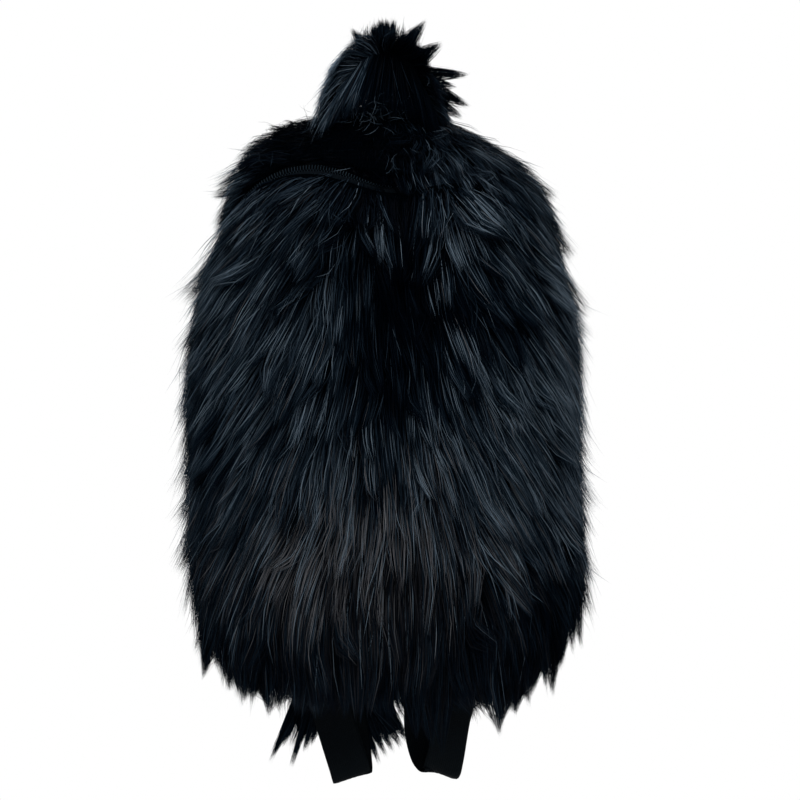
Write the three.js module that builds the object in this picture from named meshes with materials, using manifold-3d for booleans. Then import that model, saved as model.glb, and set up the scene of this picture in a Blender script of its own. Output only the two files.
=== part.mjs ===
// A long-pile faux-fur backpack that hangs from its grab handle.
// Millimetres, +Z up, front towards -Y, +X to the right of someone facing the front.
// The origin is where the handle loop rests on its hook.

import * as THREE from 'three';
import { mergeVertices } from 'three/addons/utils/BufferGeometryUtils.js';
import Module from 'manifold-3d';

const wasm = await Module();
wasm.setup();

// ---------------------------------------------------------------- driving dimensions

const GAP = 0.3; // clearance between neighbouring pieces

const BACK_Y = 12; // plane where the fur body meets its back panel
const WALL = 2.5; // body cloth
const BACKING = 2; // knitted backing of the fur
const BACKING_GAP = 0.4; // between the body cloth and the fur backing
const SQUARENESS = 2.5; // superellipse power of the D-shaped cross-section
const COLUMNS = 20; // facets round one cross-section
const CLEAR = 80; // how far a cutting shape reaches past what it cuts

// Cross-sections from the top seam down: half widths to each side, and depth in front of BACK_Y.
const BODY_SECTIONS = [
  { z: -42, left: 30, right: 28, depth: 20 },
  { z: -48, left: 55, right: 44, depth: 29 },
  { z: -59, left: 79, right: 64, depth: 41 },
  { z: -75, left: 96, right: 87, depth: 55 },
  { z: -96, left: 108, right: 108, depth: 74 },
  { z: -130, left: 118, right: 119, depth: 95 },
  { z: -180, left: 130, right: 130, depth: 112 },
  { z: -240, left: 137, right: 134, depth: 124 },
  { z: -300, left: 136, right: 135, depth: 132 },
  { z: -360, left: 137, right: 140, depth: 136 },
  { z: -405, left: 133, right: 136, depth: 131 },
  { z: -430, left: 121, right: 124, depth: 116 },
  { z: -444, left: 104, right: 108, depth: 94 },
  { z: -450, left: 86, right: 91, depth: 74 },
];
const BODY_DEPTH = 140;
const TOP_Z = BODY_SECTIONS[0].z;
const BOTTOM_Z = BODY_SECTIONS.at(-1).z;

// The slack front falls in along a shallow valley below the zip.
const VALLEY = { x: 14, spread: 36, depth: 17, top: -78, deepest: -112, fades: -165, ends: -300 };

// Height of the zip line round the body: turn is 0 at the right back edge, 1 at the left one.
const ZIP_ROUTE = [
  { turn: 0, z: -152 },
  { turn: 0.1, z: -130 },
  { turn: 0.2, z: -106 },
  { turn: 0.3, z: -91 },
  { turn: 0.38, z: -91 },
  { turn: 0.455, z: -98 },
  { turn: 0.52, z: -96 },
  { turn: 0.58, z: -89 },
  { turn: 0.65, z: -83 },
  { turn: 0.72, z: -85 },
  { turn: 0.78, z: -92 },
  { turn: 0.88, z: -114 },
  { turn: 1, z: -148 },
];
const ZIP = { start: 0.09, end: 0.91, steps: 26, tape: 11, thick: 1.7, sunk: 0.5, coil: 4.4, proud: 0.9 };
const ZIP_SLIT = { width: 12.6, reach: 8 }; // the slit in the body cloth
const FUR_SLIT = 14; // width left bare between the front fur and the top fur
const SLIDER = { turn: 0.105, length: 11, width: 8, high: 3, pull: 26, pullWidth: 6, pullThick: 1.4 };

const PANEL = { thick: 6, bevel: 2, inset: 0.5 };

// Locks of the front and of the strip above the zip, and the hem below the base.
const LOCK_SUNK = 5;
const FUR = {
  rows: 8, pitch: 49, length: 62, width: 41, high: 12, spread: 0.0045, seed: 11,
  below: 14, above: 34, // first row under the zip, last row over the base
};
const TOP_FUR = {
  rows: 3, pitch: 56, length: 34, width: 36, high: 9, spread: 0.012, seed: 23,
  below: 7, above: 16, // first row under the top seam, last row over the zip
  clearAbove: -57, clearHalf: 56, // bare where the handle stands
};
const HEM = {
  count: 15, length: 41, width: 30, high: 9, sunk: 7, seed: 16,
  above: 12, inset: 4, splay: 0.12, lean: -0.2, corner: 118, rounding: 0.6,
};

// The handle: a flat loop of webbing sewn to the top seam, inside width and height of its legs.
const HANDLE = { inner: 20, thick: 4, wide: 18, y: 2, steps: 12 };
const HANDLE_FOOT_Z = TOP_Z + BACKING_GAP + BACKING + GAP;
const HANDLE_FUR = {
  fanned: 7, fan: 240, legReach: 14, length: 30, width: 30, high: 6, sunk: 5, seed: 20,
  stand: 0.3, cropped: 0.3, edge: 3,
  pile: 8, side: 2, // thickness of the matted pile under the locks, and its overhang
  gapHalf: 10.5, // half the clear depth under the loop
  rests: 6, // clearance of the lock tips off the top of the bag
};
const CURTAIN = { apart: 13, length: 44, width: 22, high: 7, sunk: 3, edge: 1, splay: 0.3 };

const STRAP = { thick: 9, round: 3.5, steps: 16 };
const STRAP_ROUTES = {
  left: [
    { x: -33, y: 23.9, z: -60, width: 42 },
    { x: -35, y: 24.4, z: -84, width: 50 },
    { x: -49, y: 44, z: -140, width: 58 },
    { x: -66, y: 63, z: -220, width: 62 },
    { x: -68, y: 68, z: -300, width: 62 },
    { x: -55, y: 63, z: -380, width: 61 },
    { x: -37, y: 52, z: -446, width: 59 },
    { x: -33, y: 48, z: -478, width: 56 },
  ],
  right: [
    { x: 33, y: 23.9, z: -60, width: 42 },
    { x: 35, y: 24.4, z: -84, width: 50 },
    { x: 50, y: 44, z: -140, width: 58 },
    { x: 68, y: 64, z: -220, width: 62 },
    { x: 70, y: 69, z: -300, width: 62 },
    { x: 58, y: 62, z: -375, width: 61 },
    { x: 39, y: 52, z: -434, width: 59 },
    { x: 34, y: 48, z: -464, width: 56 },
  ],
};
// Locks on a strap lean out over its edges; its last two are listed apart, left lane then right.
const STRAP_FUR = {
  rows: 7, length: 62, width: 34, high: 9, sunk: 0.5, lean: 0.36, inward: 0.06, round: 0.8, narrower: 2,
  seeds: { left: 31, right: 47 },
};
const STRAP_TIPS = { left: { leans: [-0.45, 0.42], length: 56 }, right: { leans: [0.12, 0.4], length: 42 } };

// Webbing loops, from the lower edge of the back panel round the fold and up to the strap end.
// x, y, z run along the middle of the strap; turned and tilted aim its width, in degrees.
const WEBBING = { wide: 30, thick: 1.6, steps: 24 };
const WEBBING_ROUTES = {
  left: [
    { x: -58, y: 19.9, z: -428, turned: 0, tilted: 16 },
    { x: -51.5, y: 20.2, z: -450, turned: 0, tilted: 16 },
    { x: -36.5, y: 19.5, z: -501, turned: 0, tilted: 17 },
    { x: -27.6, y: 20.5, z: -530, turned: 0, tilted: 18 },
    { x: -25, y: 27, z: -539.5, turned: 0, tilted: 18 },
    { x: -24.6, y: 35, z: -534, turned: 4, tilted: 15 },
    { x: -27.6, y: 42, z: -508, turned: 6, tilted: 8 },
    { x: -31.6, y: 47, z: -482.5, turned: 0, tilted: 6 },
  ],
  right: [
    { x: 67, y: 19.9, z: -428, turned: 0, tilted: -14 },
    { x: 61.5, y: 20.2, z: -450, turned: 0, tilted: -14 },
    { x: 51, y: 19, z: -494, turned: 24, tilted: -16 },
    { x: 41.5, y: 22, z: -524, turned: 38, tilted: -17 },
    { x: 36.5, y: 29, z: -533.5, turned: 38, tilted: -17 },
    { x: 31.5, y: 36, z: -527, turned: 34, tilted: -14 },
    { x: 28.5, y: 42, z: -500, turned: 18, tilted: -8 },
    { x: 33.2, y: 46.4, z: -470.5, turned: 4, tilted: -6 },
  ],
};

// ---------------------------------------------------------------- materials

const FUR_BLACK = new THREE.MeshStandardMaterial({ color: 0x0a0d11, roughness: 0.5, metalness: 0 });
const CLOTH_BLACK = new THREE.MeshStandardMaterial({ color: 0x0b0c0e, roughness: 0.85, metalness: 0 });
const WEB_BLACK = new THREE.MeshStandardMaterial({ color: 0x0d1114, roughness: 0.7, metalness: 0 });
const ZIP_BLACK = new THREE.MeshStandardMaterial({ color: 0x101418, roughness: 0.45, metalness: 0 });

// ---------------------------------------------------------------- solids

// A closed shell through rings of equal length, with each end drawn to one point.
function loft(rings, startTip = middle(rings[0]), endTip = middle(rings.at(-1))) {
  const size = rings[0].length;
  const points = [...rings.flat(), startTip, endTip];
  const start = rings.length * size;
  const end = start + 1;
  const faces = [];
  for (let i = 0; i < size; i++) {
    const next = (i + 1) % size;
    faces.push(start, next, i);
    const last = (rings.length - 1) * size;
    faces.push(end, last + i, last + next);
    for (let ring = 0; ring < rings.length - 1; ring++) {
      const low = ring * size;
      const high = low + size;
      faces.push(low + i, low + next, high + i);
      faces.push(low + next, high + next, high + i);
    }
  }
  return closedGeometry(points, faces);
}

// A bar through frames, each with a place and the directions across and off; sections are [across, off].
function alongFrames(frames, sectionAt) {
  const rings = frames.map((frame) => sectionAt(frame).map(([a, n]) => frame.at.clone()
    .addScaledVector(frame.across, a)
    .addScaledVector(frame.off, n)));
  return loft(rings);
}

// The same frames, with an added one before the first and after the last.
function stretched(frames, spare) {
  if (spare === 0) return frames;
  const first = frames[0];
  const last = frames.at(-1);
  return [
    { ...first, at: first.at.clone().addScaledVector(first.along, -spare) },
    ...frames,
    { ...last, at: last.at.clone().addScaledVector(last.along, spare) },
  ];
}

function middle(ring) {
  const sum = new THREE.Vector3();
  for (const point of ring) sum.add(point);
  return sum.divideScalar(ring.length);
}

// Geometry whose faces look outwards, whichever way round they were listed.
function closedGeometry(points, faces) {
  let volume = 0;
  const normal = new THREE.Vector3();
  for (let i = 0; i < faces.length; i += 3) {
    normal.crossVectors(points[faces[i]], points[faces[i + 1]]);
    volume += normal.dot(points[faces[i + 2]]);
  }
  if (volume < 0) faces.reverse();
  const geometry = new THREE.BufferGeometry().setFromPoints(points);
  geometry.setIndex(faces);
  return geometry;
}

function toSolid(geometry) {
  const bare = new THREE.BufferGeometry();
  bare.setAttribute('position', geometry.getAttribute('position'));
  bare.setIndex(geometry.getIndex());
  const merged = mergeVertices(bare, 1e-4);
  const vertProperties = Float32Array.from(merged.getAttribute('position').array);
  const triVerts = Uint32Array.from(merged.getIndex().array);
  return new wasm.Manifold(new wasm.Mesh({ numProp: 3, vertProperties, triVerts }));
}

function toGeometry(solid) {
  const mesh = solid.getMesh();
  const geometry = new THREE.BufferGeometry();
  geometry.setAttribute('position', new THREE.BufferAttribute(mesh.vertProperties, 3));
  geometry.setIndex(new THREE.BufferAttribute(mesh.triVerts, 1));
  geometry.computeVertexNormals();
  return geometry;
}

function joined(base, geometries) {
  return geometries.reduce((solid, geometry) => solid.add(toSolid(geometry)), base);
}

function named(name, geometry, material) {
  geometry.computeVertexNormals();
  const mesh = new THREE.Mesh(geometry, material);
  mesh.name = name;
  return mesh;
}

// Evenly repeatable numbers from -1 to 1.
function jitter(seed) {
  let state = seed;
  return () => {
    state = (state * 16807) % 2147483647;
    return (state / 2147483647) * 2 - 1;
  };
}

// ---------------------------------------------------------------- tables and the body surface

// Smooth curve through one named column of a table whose rows run in order of key.
function readTable(table, key, value, column) {
  const rising = Math.sign(table[1][key] - table[0][key]);
  let row = 0;
  while (row < table.length - 2 && (value - table[row + 1][key]) * rising > 0) row++;
  const from = table[row];
  const to = table[row + 1];
  const before = table[Math.max(row - 1, 0)];
  const after = table[Math.min(row + 2, table.length - 1)];
  const span = to[key] - from[key];
  const k = (value - from[key]) / span;
  const slopeFrom = ((to[column] - before[column]) / (to[key] - before[key])) * span;
  const slopeTo = ((after[column] - from[column]) / (after[key] - from[key])) * span;
  const rise = to[column] - from[column];
  return from[column] + k * (slopeFrom + k * (3 * rise - 2 * slopeFrom - slopeTo
    + k * (slopeFrom + slopeTo - 2 * rise)));
}

function valley(x, z) {
  const opens = 1 - THREE.MathUtils.smoothstep(z, VALLEY.deepest, VALLEY.top);
  const fades = THREE.MathUtils.smoothstep(z, VALLEY.ends, VALLEY.fades);
  return VALLEY.depth * opens * fades * Math.exp(-(((x - VALLEY.x) / VALLEY.spread) ** 2));
}

function bodyPoint(turn, z) {
  const across = Math.cos(turn * Math.PI);
  const forward = Math.max(Math.sin(turn * Math.PI), 0);
  const square = (Math.abs(across) ** SQUARENESS + forward ** SQUARENESS) ** (-1 / SQUARENESS);
  const x = across * square * readTable(BODY_SECTIONS, 'z', z, across > 0 ? 'right' : 'left');
  const depth = readTable(BODY_SECTIONS, 'z', z, 'depth') - valley(x, z);
  return new THREE.Vector3(x, BACK_Y - forward * square * depth, z);
}

function bodyNormal(turn, z) {
  const step = 0.004;
  const rise = 0.5;
  const low = Math.max(z - rise, BOTTOM_Z);
  const high = Math.min(z + rise, TOP_Z);
  const round = bodyPoint(Math.min(turn + step, 1), z).sub(bodyPoint(Math.max(turn - step, 0), z));
  const up = bodyPoint(turn, high).sub(bodyPoint(turn, low));
  return up.cross(round).normalize();
}

// A point off the body surface. At the flat top and base the offset is mitred with theirs.
function offBody(turn, z, offset) {
  const normal = bodyNormal(turn, z);
  const cap = (z >= TOP_Z ? 1 : 0) - (z <= BOTTOM_Z ? 1 : 0);
  if (cap !== 0) {
    const lean = 1 + normal.z * cap;
    normal.z += cap;
    normal.divideScalar(lean);
  }
  if (turn === 0 || turn === 1) normal.y = 0;
  return bodyPoint(turn, z).addScaledVector(normal, offset);
}

// The whole body, grown or shrunk by offset, its back face drawn back by reach.
function bodySolid(offset, reach = 0) {
  const rings = BODY_SECTIONS.map(({ z }) => {
    const ring = [];
    for (let i = 0; i <= COLUMNS; i++) ring.push(offBody(i / COLUMNS, z, offset));
    if (reach > 0) {
      const back = new THREE.Vector3(0, reach, 0);
      ring.unshift(ring[0].clone().add(back));
      ring.push(ring.at(-1).clone().add(back));
    }
    return ring;
  });
  return toSolid(loft(rings));
}

// ---------------------------------------------------------------- zip

// Position on the zip line, with the directions across it (upwards) and off the surface.
function zipFrame(turn) {
  const heightAt = (where) => readTable(ZIP_ROUTE, 'turn', where, 'z');
  const step = 0.005;
  const before = Math.max(turn - step, 0);
  const after = Math.min(turn + step, 1);
  const along = bodyPoint(after, heightAt(after)).sub(bodyPoint(before, heightAt(before))).normalize();
  const off = bodyNormal(turn, heightAt(turn));
  const across = new THREE.Vector3().crossVectors(along, off).normalize();
  if (across.z < 0) across.negate();
  return { at: bodyPoint(turn, heightAt(turn)), across, off, along };
}

// A bar of constant section along the zip; section rows are [across, off], spare lengthens it.
function alongZip(section, spare = 0) {
  const frames = [];
  for (let i = 0; i <= ZIP.steps; i++) {
    frames.push(zipFrame(THREE.MathUtils.lerp(ZIP.start, ZIP.end, i / ZIP.steps)));
  }
  return alongFrames(stretched(frames, spare), () => section);
}

function zipSlit() {
  const half = ZIP_SLIT.width / 2;
  const deep = ZIP_SLIT.reach;
  return alongZip([[-half, -deep], [half, -deep], [half, deep], [-half, deep]], GAP);
}

function makeZip() {
  const tape = ZIP.tape / 2;
  const coil = ZIP.coil / 2;
  const face = -ZIP.sunk;
  const section = [
    [-tape, face - ZIP.thick],
    [tape, face - ZIP.thick],
    [tape, face],
    [coil, face],
    [coil * 0.7, ZIP.proud],
    [-coil * 0.7, ZIP.proud],
    [-coil, face],
    [-tape, face],
  ];
  return named('zip', alongZip(section), ZIP_BLACK);
}

// The slider body with its pull, one plain piece lying on the coil at the closed end.
function makeSlider() {
  const { at, off, along } = zipFrame(SLIDER.turn);
  const body = new THREE.BoxGeometry(SLIDER.width, SLIDER.length, SLIDER.high);
  body.translate(0, 0, SLIDER.high / 2);
  const pull = new THREE.BoxGeometry(SLIDER.pullWidth, SLIDER.pull, SLIDER.pullThick);
  pull.translate(0, SLIDER.pull / 2 - SLIDER.length / 4, SLIDER.high - SLIDER.pullThick / 4);
  const mesh = named('zip_slider', toGeometry(toSolid(body).add(toSolid(pull))), ZIP_BLACK);
  const seat = ZIP.proud + GAP;
  const sideways = new THREE.Vector3().crossVectors(along, off).normalize();
  mesh.applyMatrix4(new THREE.Matrix4().makeBasis(sideways, along, off));
  mesh.position.copy(at).addScaledVector(off, seat);
  return mesh;
}

// ---------------------------------------------------------------- body cloth and back panel

function makeBagWall() {
  const openBack = bodySolid(-WALL, CLEAR);
  const wall = bodySolid(0).subtract(openBack).subtract(toSolid(zipSlit()));
  return named('bag_wall', toGeometry(wall), CLOTH_BLACK);
}

function makeBackPanel() {
  const outline = new THREE.Shape();
  const inset = PANEL.inset + PANEL.bevel;
  const rightEdge = BODY_SECTIONS.map(({ z }) => offBody(0, z, -inset));
  const leftEdge = BODY_SECTIONS.map(({ z }) => offBody(1, z, -inset));
  const edge = [...rightEdge, ...leftEdge.reverse()];
  outline.setFromPoints(edge.map(({ x, z }) => new THREE.Vector2(x, z)));
  const panel = new THREE.ExtrudeGeometry(outline, {
    depth: PANEL.thick - PANEL.bevel * 2,
    bevelThickness: PANEL.bevel,
    bevelSize: PANEL.bevel,
    bevelSegments: 1,
  });
  panel.rotateX(Math.PI / 2);
  panel.translate(0, BACK_Y + GAP + PANEL.thick - PANEL.bevel, 0);
  return named('back_panel', toGeometry(toSolid(panel)), CLOTH_BLACK);
}

// ---------------------------------------------------------------- fur

// One lock: rooted in its backing, it swells, follows flow and lifts to a point.
function lock({ root, off, flow, length, width, high, sunk }) {
  const side = new THREE.Vector3().crossVectors(flow, off).normalize();
  const place = (along, across, up) => root.clone()
    .addScaledVector(flow, along * length)
    .addScaledVector(side, across * width)
    .addScaledVector(off, up);
  const full = 0.38; // where along its length a lock is widest
  const waist = [place(full, -0.5, -sunk), place(full, 0.5, -sunk), place(full, 0, high)];
  return loft([waist], place(-0.08, 0, 0), place(1, 0, high * 1.15));
}

// Direction in which the pile lies at a point, within the surface.
function combed(point, off, spread) {
  const fall = new THREE.Vector3(point.x * spread, 0, -1);
  return fall.addScaledVector(off, -fall.dot(off)).normalize();
}

// Locks in staggered rows over the body between two heights given as functions of turn.
function bodyLocks(zAt, options) {
  const random = jitter(options.seed);
  const locks = [];
  for (let row = 0; row < options.rows; row++) {
    const level = row / (options.rows - 1);
    const halfWidth = Math.abs(bodyPoint(1, zAt(0.5, level)).x);
    const count = Math.round((2.1 * halfWidth + BODY_DEPTH) / options.pitch);
    for (let i = 0; i <= count; i++) {
      const turn = THREE.MathUtils.clamp((i + (row % 2) * 0.5 + random() * 0.16) / count, 0.012, 0.988);
      const z = THREE.MathUtils.clamp(zAt(turn, level) + random() * 6, BOTTOM_Z + 1, TOP_Z - 1);
      const root = bodyPoint(turn, z);
      const off = bodyNormal(turn, z);
      if (z > options.clearAbove && Math.abs(root.x) < options.clearHalf) continue;
      locks.push(lock({
        root,
        off,
        flow: combed(root, off, options.spread),
        length: options.length * (1 + random() * 0.18),
        width: options.width * (1 + random() * 0.15),
        high: options.high * (1 + random() * 0.2),
        sunk: LOCK_SUNK,
      }));
    }
  }
  return locks;
}

// Locks that hang from the rim of the base and stand free of it at the hem.
function hemLocks() {
  const random = jitter(HEM.seed);
  const locks = [];
  for (let i = 0; i < HEM.count; i++) {
    const turn = (i + 0.5 + random() * 0.25) / HEM.count;
    const z = BOTTOM_Z + HEM.above + random() * 4;
    const off = bodyNormal(turn, z).setZ(HEM.lean).normalize();
    const flow = new THREE.Vector3(off.x * HEM.splay, off.y * HEM.splay, -1).normalize();
    const root = bodyPoint(turn, z).addScaledVector(off, -HEM.inset);
    const corner = Math.min(Math.abs(root.x) / HEM.corner, 1);
    const length = (HEM.length + random() * 6) * (1 - HEM.rounding * corner ** 3);
    locks.push(lock({ root, off, flow, length, width: HEM.width, high: HEM.high, sunk: HEM.sunk }));
  }
  return locks;
}

// The region above the zip line, its lower edge moved up the surface by rise.
function aboveZip(rise) {
  const rings = [[], []];
  for (let i = 0; i <= COLUMNS; i++) {
    const { at, across, off } = zipFrame(i / COLUMNS);
    const edge = at.addScaledVector(across, rise);
    rings[0].push(edge.clone().addScaledVector(off, -BACKING));
    rings[1].push(edge.clone().addScaledVector(off, CLEAR));
  }
  for (const ring of rings) {
    ring.unshift(ring[0].clone().setY(BACK_Y + CLEAR));
    ring.push(ring.at(-1).clone().setY(BACK_Y + CLEAR));
  }
  const inner = new THREE.Vector3(0, -10, -96); // inside the bag, level with the zip
  return toSolid(loft(rings, inner, inner.clone().setZ(CLEAR)));
}

function makeFrontFur() {
  const zAt = (turn, level) => {
    const start = readTable(ZIP_ROUTE, 'turn', turn, 'z') - FUR.below;
    return THREE.MathUtils.lerp(start, BOTTOM_Z + FUR.above, level);
  };
  const locks = bodyLocks(zAt, FUR);
  const grown = joined(bodySolid(BACKING_GAP + BACKING), [...locks, ...hemLocks()]);
  const fur = grown.subtract(bodySolid(BACKING_GAP, CLEAR)).subtract(aboveZip(-FUR_SLIT / 2));
  return named('front_fur', toGeometry(fur), FUR_BLACK);
}

function makeTopFur() {
  const zAt = (turn, level) => {
    const end = readTable(ZIP_ROUTE, 'turn', turn, 'z') + TOP_FUR.above;
    return THREE.MathUtils.lerp(TOP_Z - TOP_FUR.below, end, level);
  };
  const locks = bodyLocks(zAt, TOP_FUR);
  const grown = joined(bodySolid(BACKING_GAP + BACKING), locks);
  const fur = grown.subtract(bodySolid(BACKING_GAP, CLEAR)).intersect(aboveZip(FUR_SLIT / 2));
  return named('top_fur', toGeometry(fur), FUR_BLACK);
}

// ---------------------------------------------------------------- grab handle

// A band bent to the loop: two legs and a half circle, between two distances from the inside.
function handleBand(near, far, half, footZ) {
  const rings = [];
  const centreZ = -HANDLE.inner;
  for (let i = -1; i <= HANDLE.steps + 1; i++) {
    const angle = THREE.MathUtils.clamp(i / HANDLE.steps, 0, 1) * Math.PI;
    const z = i < 0 || i > HANDLE.steps ? footZ : centreZ;
    const out = new THREE.Vector3(Math.cos(angle), 0, Math.sin(angle));
    const at = (radius, y) => out.clone().multiplyScalar(radius).add(new THREE.Vector3(0, y, z));
    rings.push([
      at(HANDLE.inner + near, HANDLE.y - half),
      at(HANDLE.inner + far, HANDLE.y - half),
      at(HANDLE.inner + far, HANDLE.y + half),
      at(HANDLE.inner + near, HANDLE.y + half),
    ]);
  }
  return loft(rings);
}

function makeHandle() {
  const band = handleBand(0, HANDLE.thick, HANDLE.wide / 2, HANDLE_FOOT_Z);
  return named('grab_handle', toGeometry(toSolid(band)), WEB_BLACK);
}

// Locks fan out from both edges of the loop, and a few hang across the front and back of its gap.
function makeHandleFur() {
  const random = jitter(HANDLE_FUR.seed);
  const near = HANDLE.thick + GAP;
  const half = HANDLE.wide / 2 + HANDLE_FUR.side;
  const backing = handleBand(near - 1, near + HANDLE_FUR.pile, half, HANDLE_FOOT_Z + GAP);
  const inside = handleBand(0.05 - HANDLE.inner, near, HANDLE_FUR.gapHalf, HANDLE_FOOT_Z - CLEAR);
  const locks = [];
  for (const lane of [-1, 1]) {
    const edgeY = HANDLE.y + lane * (half - HANDLE_FUR.edge);
    for (let i = 0; i < HANDLE_FUR.fanned; i++) {
      const angle = THREE.MathUtils.degToRad(90 - ((i + 0.5) / HANDLE_FUR.fanned - 0.5) * HANDLE_FUR.fan);
      const drop = Math.min(Math.sin(angle), 0) * HANDLE_FUR.legReach;
      const out = new THREE.Vector3(Math.cos(angle), 0, Math.max(Math.sin(angle), 0)).normalize();
      const root = out.clone().multiplyScalar(HANDLE.inner + near + HANDLE_FUR.pile - 1);
      root.add(new THREE.Vector3(0, edgeY, drop - HANDLE.inner));
      const off = out.clone().add(new THREE.Vector3(0, lane * 0.6, 0)).normalize();
      const fall = new THREE.Vector3(Math.sign(out.x) * 0.5, lane * 0.16, -0.8);
      const stand = HANDLE_FUR.stand + out.z ** 4;
      const flow = fall.addScaledVector(off, stand - fall.dot(off)).normalize();
      const cropped = HANDLE_FUR.cropped * out.z ** 4;
      const length = HANDLE_FUR.length * (1 + random() * 0.15 - cropped);
      const high = HANDLE_FUR.high * (1 + random() * 0.15);
      locks.push(lock({ root, off, flow, length, width: HANDLE_FUR.width, high, sunk: HANDLE_FUR.sunk }));
    }
    const curtainY = HANDLE.y + lane * (half - CURTAIN.edge);
    for (const across of [-1, 0, 1]) {
      const root = new THREE.Vector3(across * CURTAIN.apart, curtainY, near + 1);
      const off = new THREE.Vector3(across * 0.2, lane, 0.25).normalize();
      const flow = new THREE.Vector3(across * CURTAIN.splay, lane * CURTAIN.splay, -1).normalize();
      const length = CURTAIN.length * (1 + random() * 0.12);
      locks.push(lock({ root, off, flow, length, width: CURTAIN.width, high: CURTAIN.high, sunk: CURTAIN.sunk }));
    }
  }
  const fur = joined(toSolid(backing), locks)
    .subtract(toSolid(inside))
    .subtract(bodySolid(HANDLE_FUR.rests, CLEAR));
  return named('handle_fur', toGeometry(fur), FUR_BLACK);
}

// ---------------------------------------------------------------- shoulder straps and webbing

// Middle line and directions along a strap: along it, across its width, and off its back face.
function strapFrames(route, steps) {
  const line = new THREE.CatmullRomCurve3(route.map(({ x, y, z }) => new THREE.Vector3(x, y, z)));
  const frames = [];
  for (let i = 0; i <= steps; i++) {
    const k = i / steps;
    const row = k * (route.length - 1);
    const from = route[Math.floor(row)];
    const to = route[Math.min(Math.floor(row) + 1, route.length - 1)];
    const blend = row - Math.floor(row);
    const between = (column) => THREE.MathUtils.lerp(from[column] ?? 0, to[column] ?? 0, blend);
    const turned = THREE.MathUtils.degToRad(between('turned'));
    const tilted = THREE.MathUtils.degToRad(between('tilted'));
    const along = line.getTangent(k);
    const across = new THREE.Vector3(
      Math.cos(tilted) * Math.cos(turned),
      Math.sin(turned),
      Math.sin(tilted) * Math.cos(turned),
    );
    across.addScaledVector(along, -across.dot(along)).normalize();
    const off = new THREE.Vector3().crossVectors(across, along).normalize();
    frames.push({ at: line.getPoint(k), along, across, off, width: between('width') });
  }
  return frames;
}

// Rounded section from the inner face to the outer one, as [across, off] rows.
function paddedSection(width, inner, outer, round) {
  const half = width / 2;
  return [
    [-half, inner + round],
    [-half + round, inner],
    [half - round, inner],
    [half, inner + round],
    [half, outer - round],
    [half - round, outer],
    [-half + round, outer],
    [-half, outer - round],
  ];
}

function makeStrap(side) {
  const half = STRAP.thick / 2;
  const section = ({ width }) => paddedSection(width, -half, half, STRAP.round);
  const strap = alongFrames(strapFrames(STRAP_ROUTES[side], STRAP.steps), section);
  return named('strap_' + side, toGeometry(toSolid(strap)), CLOTH_BLACK);
}

// Fur on the outer face of a strap and over its edges, and past its lower end.
function makeStrapFur(side) {
  const random = jitter(STRAP_FUR.seeds[side]);
  const tips = STRAP_TIPS[side];
  const frames = strapFrames(STRAP_ROUTES[side], STRAP.steps);
  const near = STRAP.thick / 2 + GAP;
  const { round, narrower } = STRAP_FUR;
  const flat = ({ width }) => paddedSection(width - narrower, near - 1, near + BACKING, round);
  const locks = [];
  for (let row = 0; row < STRAP_FUR.rows; row++) {
    const index = Math.round(((row + 0.6) / STRAP_FUR.rows) * (frames.length - 1));
    const { at, along, across, off, width } = frames[Math.min(index, frames.length - 1)];
    const last = row === STRAP_FUR.rows - 1;
    for (const lane of [-1, 1]) {
      const outward = (lane > 0) === (side === 'right');
      const over = lane * (outward ? STRAP_FUR.lean : STRAP_FUR.inward);
      const lean = last ? tips.leans[(lane + 1) / 2] : over;
      const root = at.clone()
        .addScaledVector(across, lane * (width / 4 + 2))
        .addScaledVector(off, near + 1);
      const flow = along.clone()
        .addScaledVector(across, lean)
        .normalize();
      locks.push(lock({
        root,
        off,
        flow,
        length: (last ? tips.length : STRAP_FUR.length) * (1 + random() * 0.12),
        width: STRAP_FUR.width,
        high: STRAP_FUR.high * (1 + random() * 0.2),
        sunk: STRAP_FUR.sunk,
      }));
    }
  }
  const wide = 50;
  const under = ({ width }) => {
    const flatHalf = width / 2 - STRAP.round;
    return [[-wide, -12], [wide, -12], [wide, near], [flatHalf, near], [-flatHalf, near], [-wide, near]];
  };
  const fur = joined(toSolid(alongFrames(frames, flat)), locks)
    .subtract(toSolid(alongFrames(stretched(frames, 3), under)));
  return named('strap_fur_' + side, toGeometry(fur), FUR_BLACK);
}

function makeWebbing(side) {
  const half = WEBBING.wide / 2;
  const thin = WEBBING.thick / 2;
  const section = () => [[-half, -thin], [half, -thin], [half, thin], [-half, thin]];
  const loop = alongFrames(strapFrames(WEBBING_ROUTES[side], WEBBING.steps), section);
  return named('webbing_' + side, toGeometry(toSolid(loop)), WEB_BLACK);
}

// ---------------------------------------------------------------- assembly

const backpack = new THREE.Group();
backpack.add(makeBagWall(), makeBackPanel(), makeZip(), makeSlider());
backpack.add(makeFrontFur(), makeTopFur());
backpack.add(makeHandle(), makeHandleFur());
for (const side of ['left', 'right']) {
  backpack.add(makeStrap(side), makeStrapFur(side), makeWebbing(side));
}

export default backpack;
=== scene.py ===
import math
from functools import partial

import bpy
import numpy as np
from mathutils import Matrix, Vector
from mathutils.bvhtree import BVHTree
from mathutils.kdtree import KDTree


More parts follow.
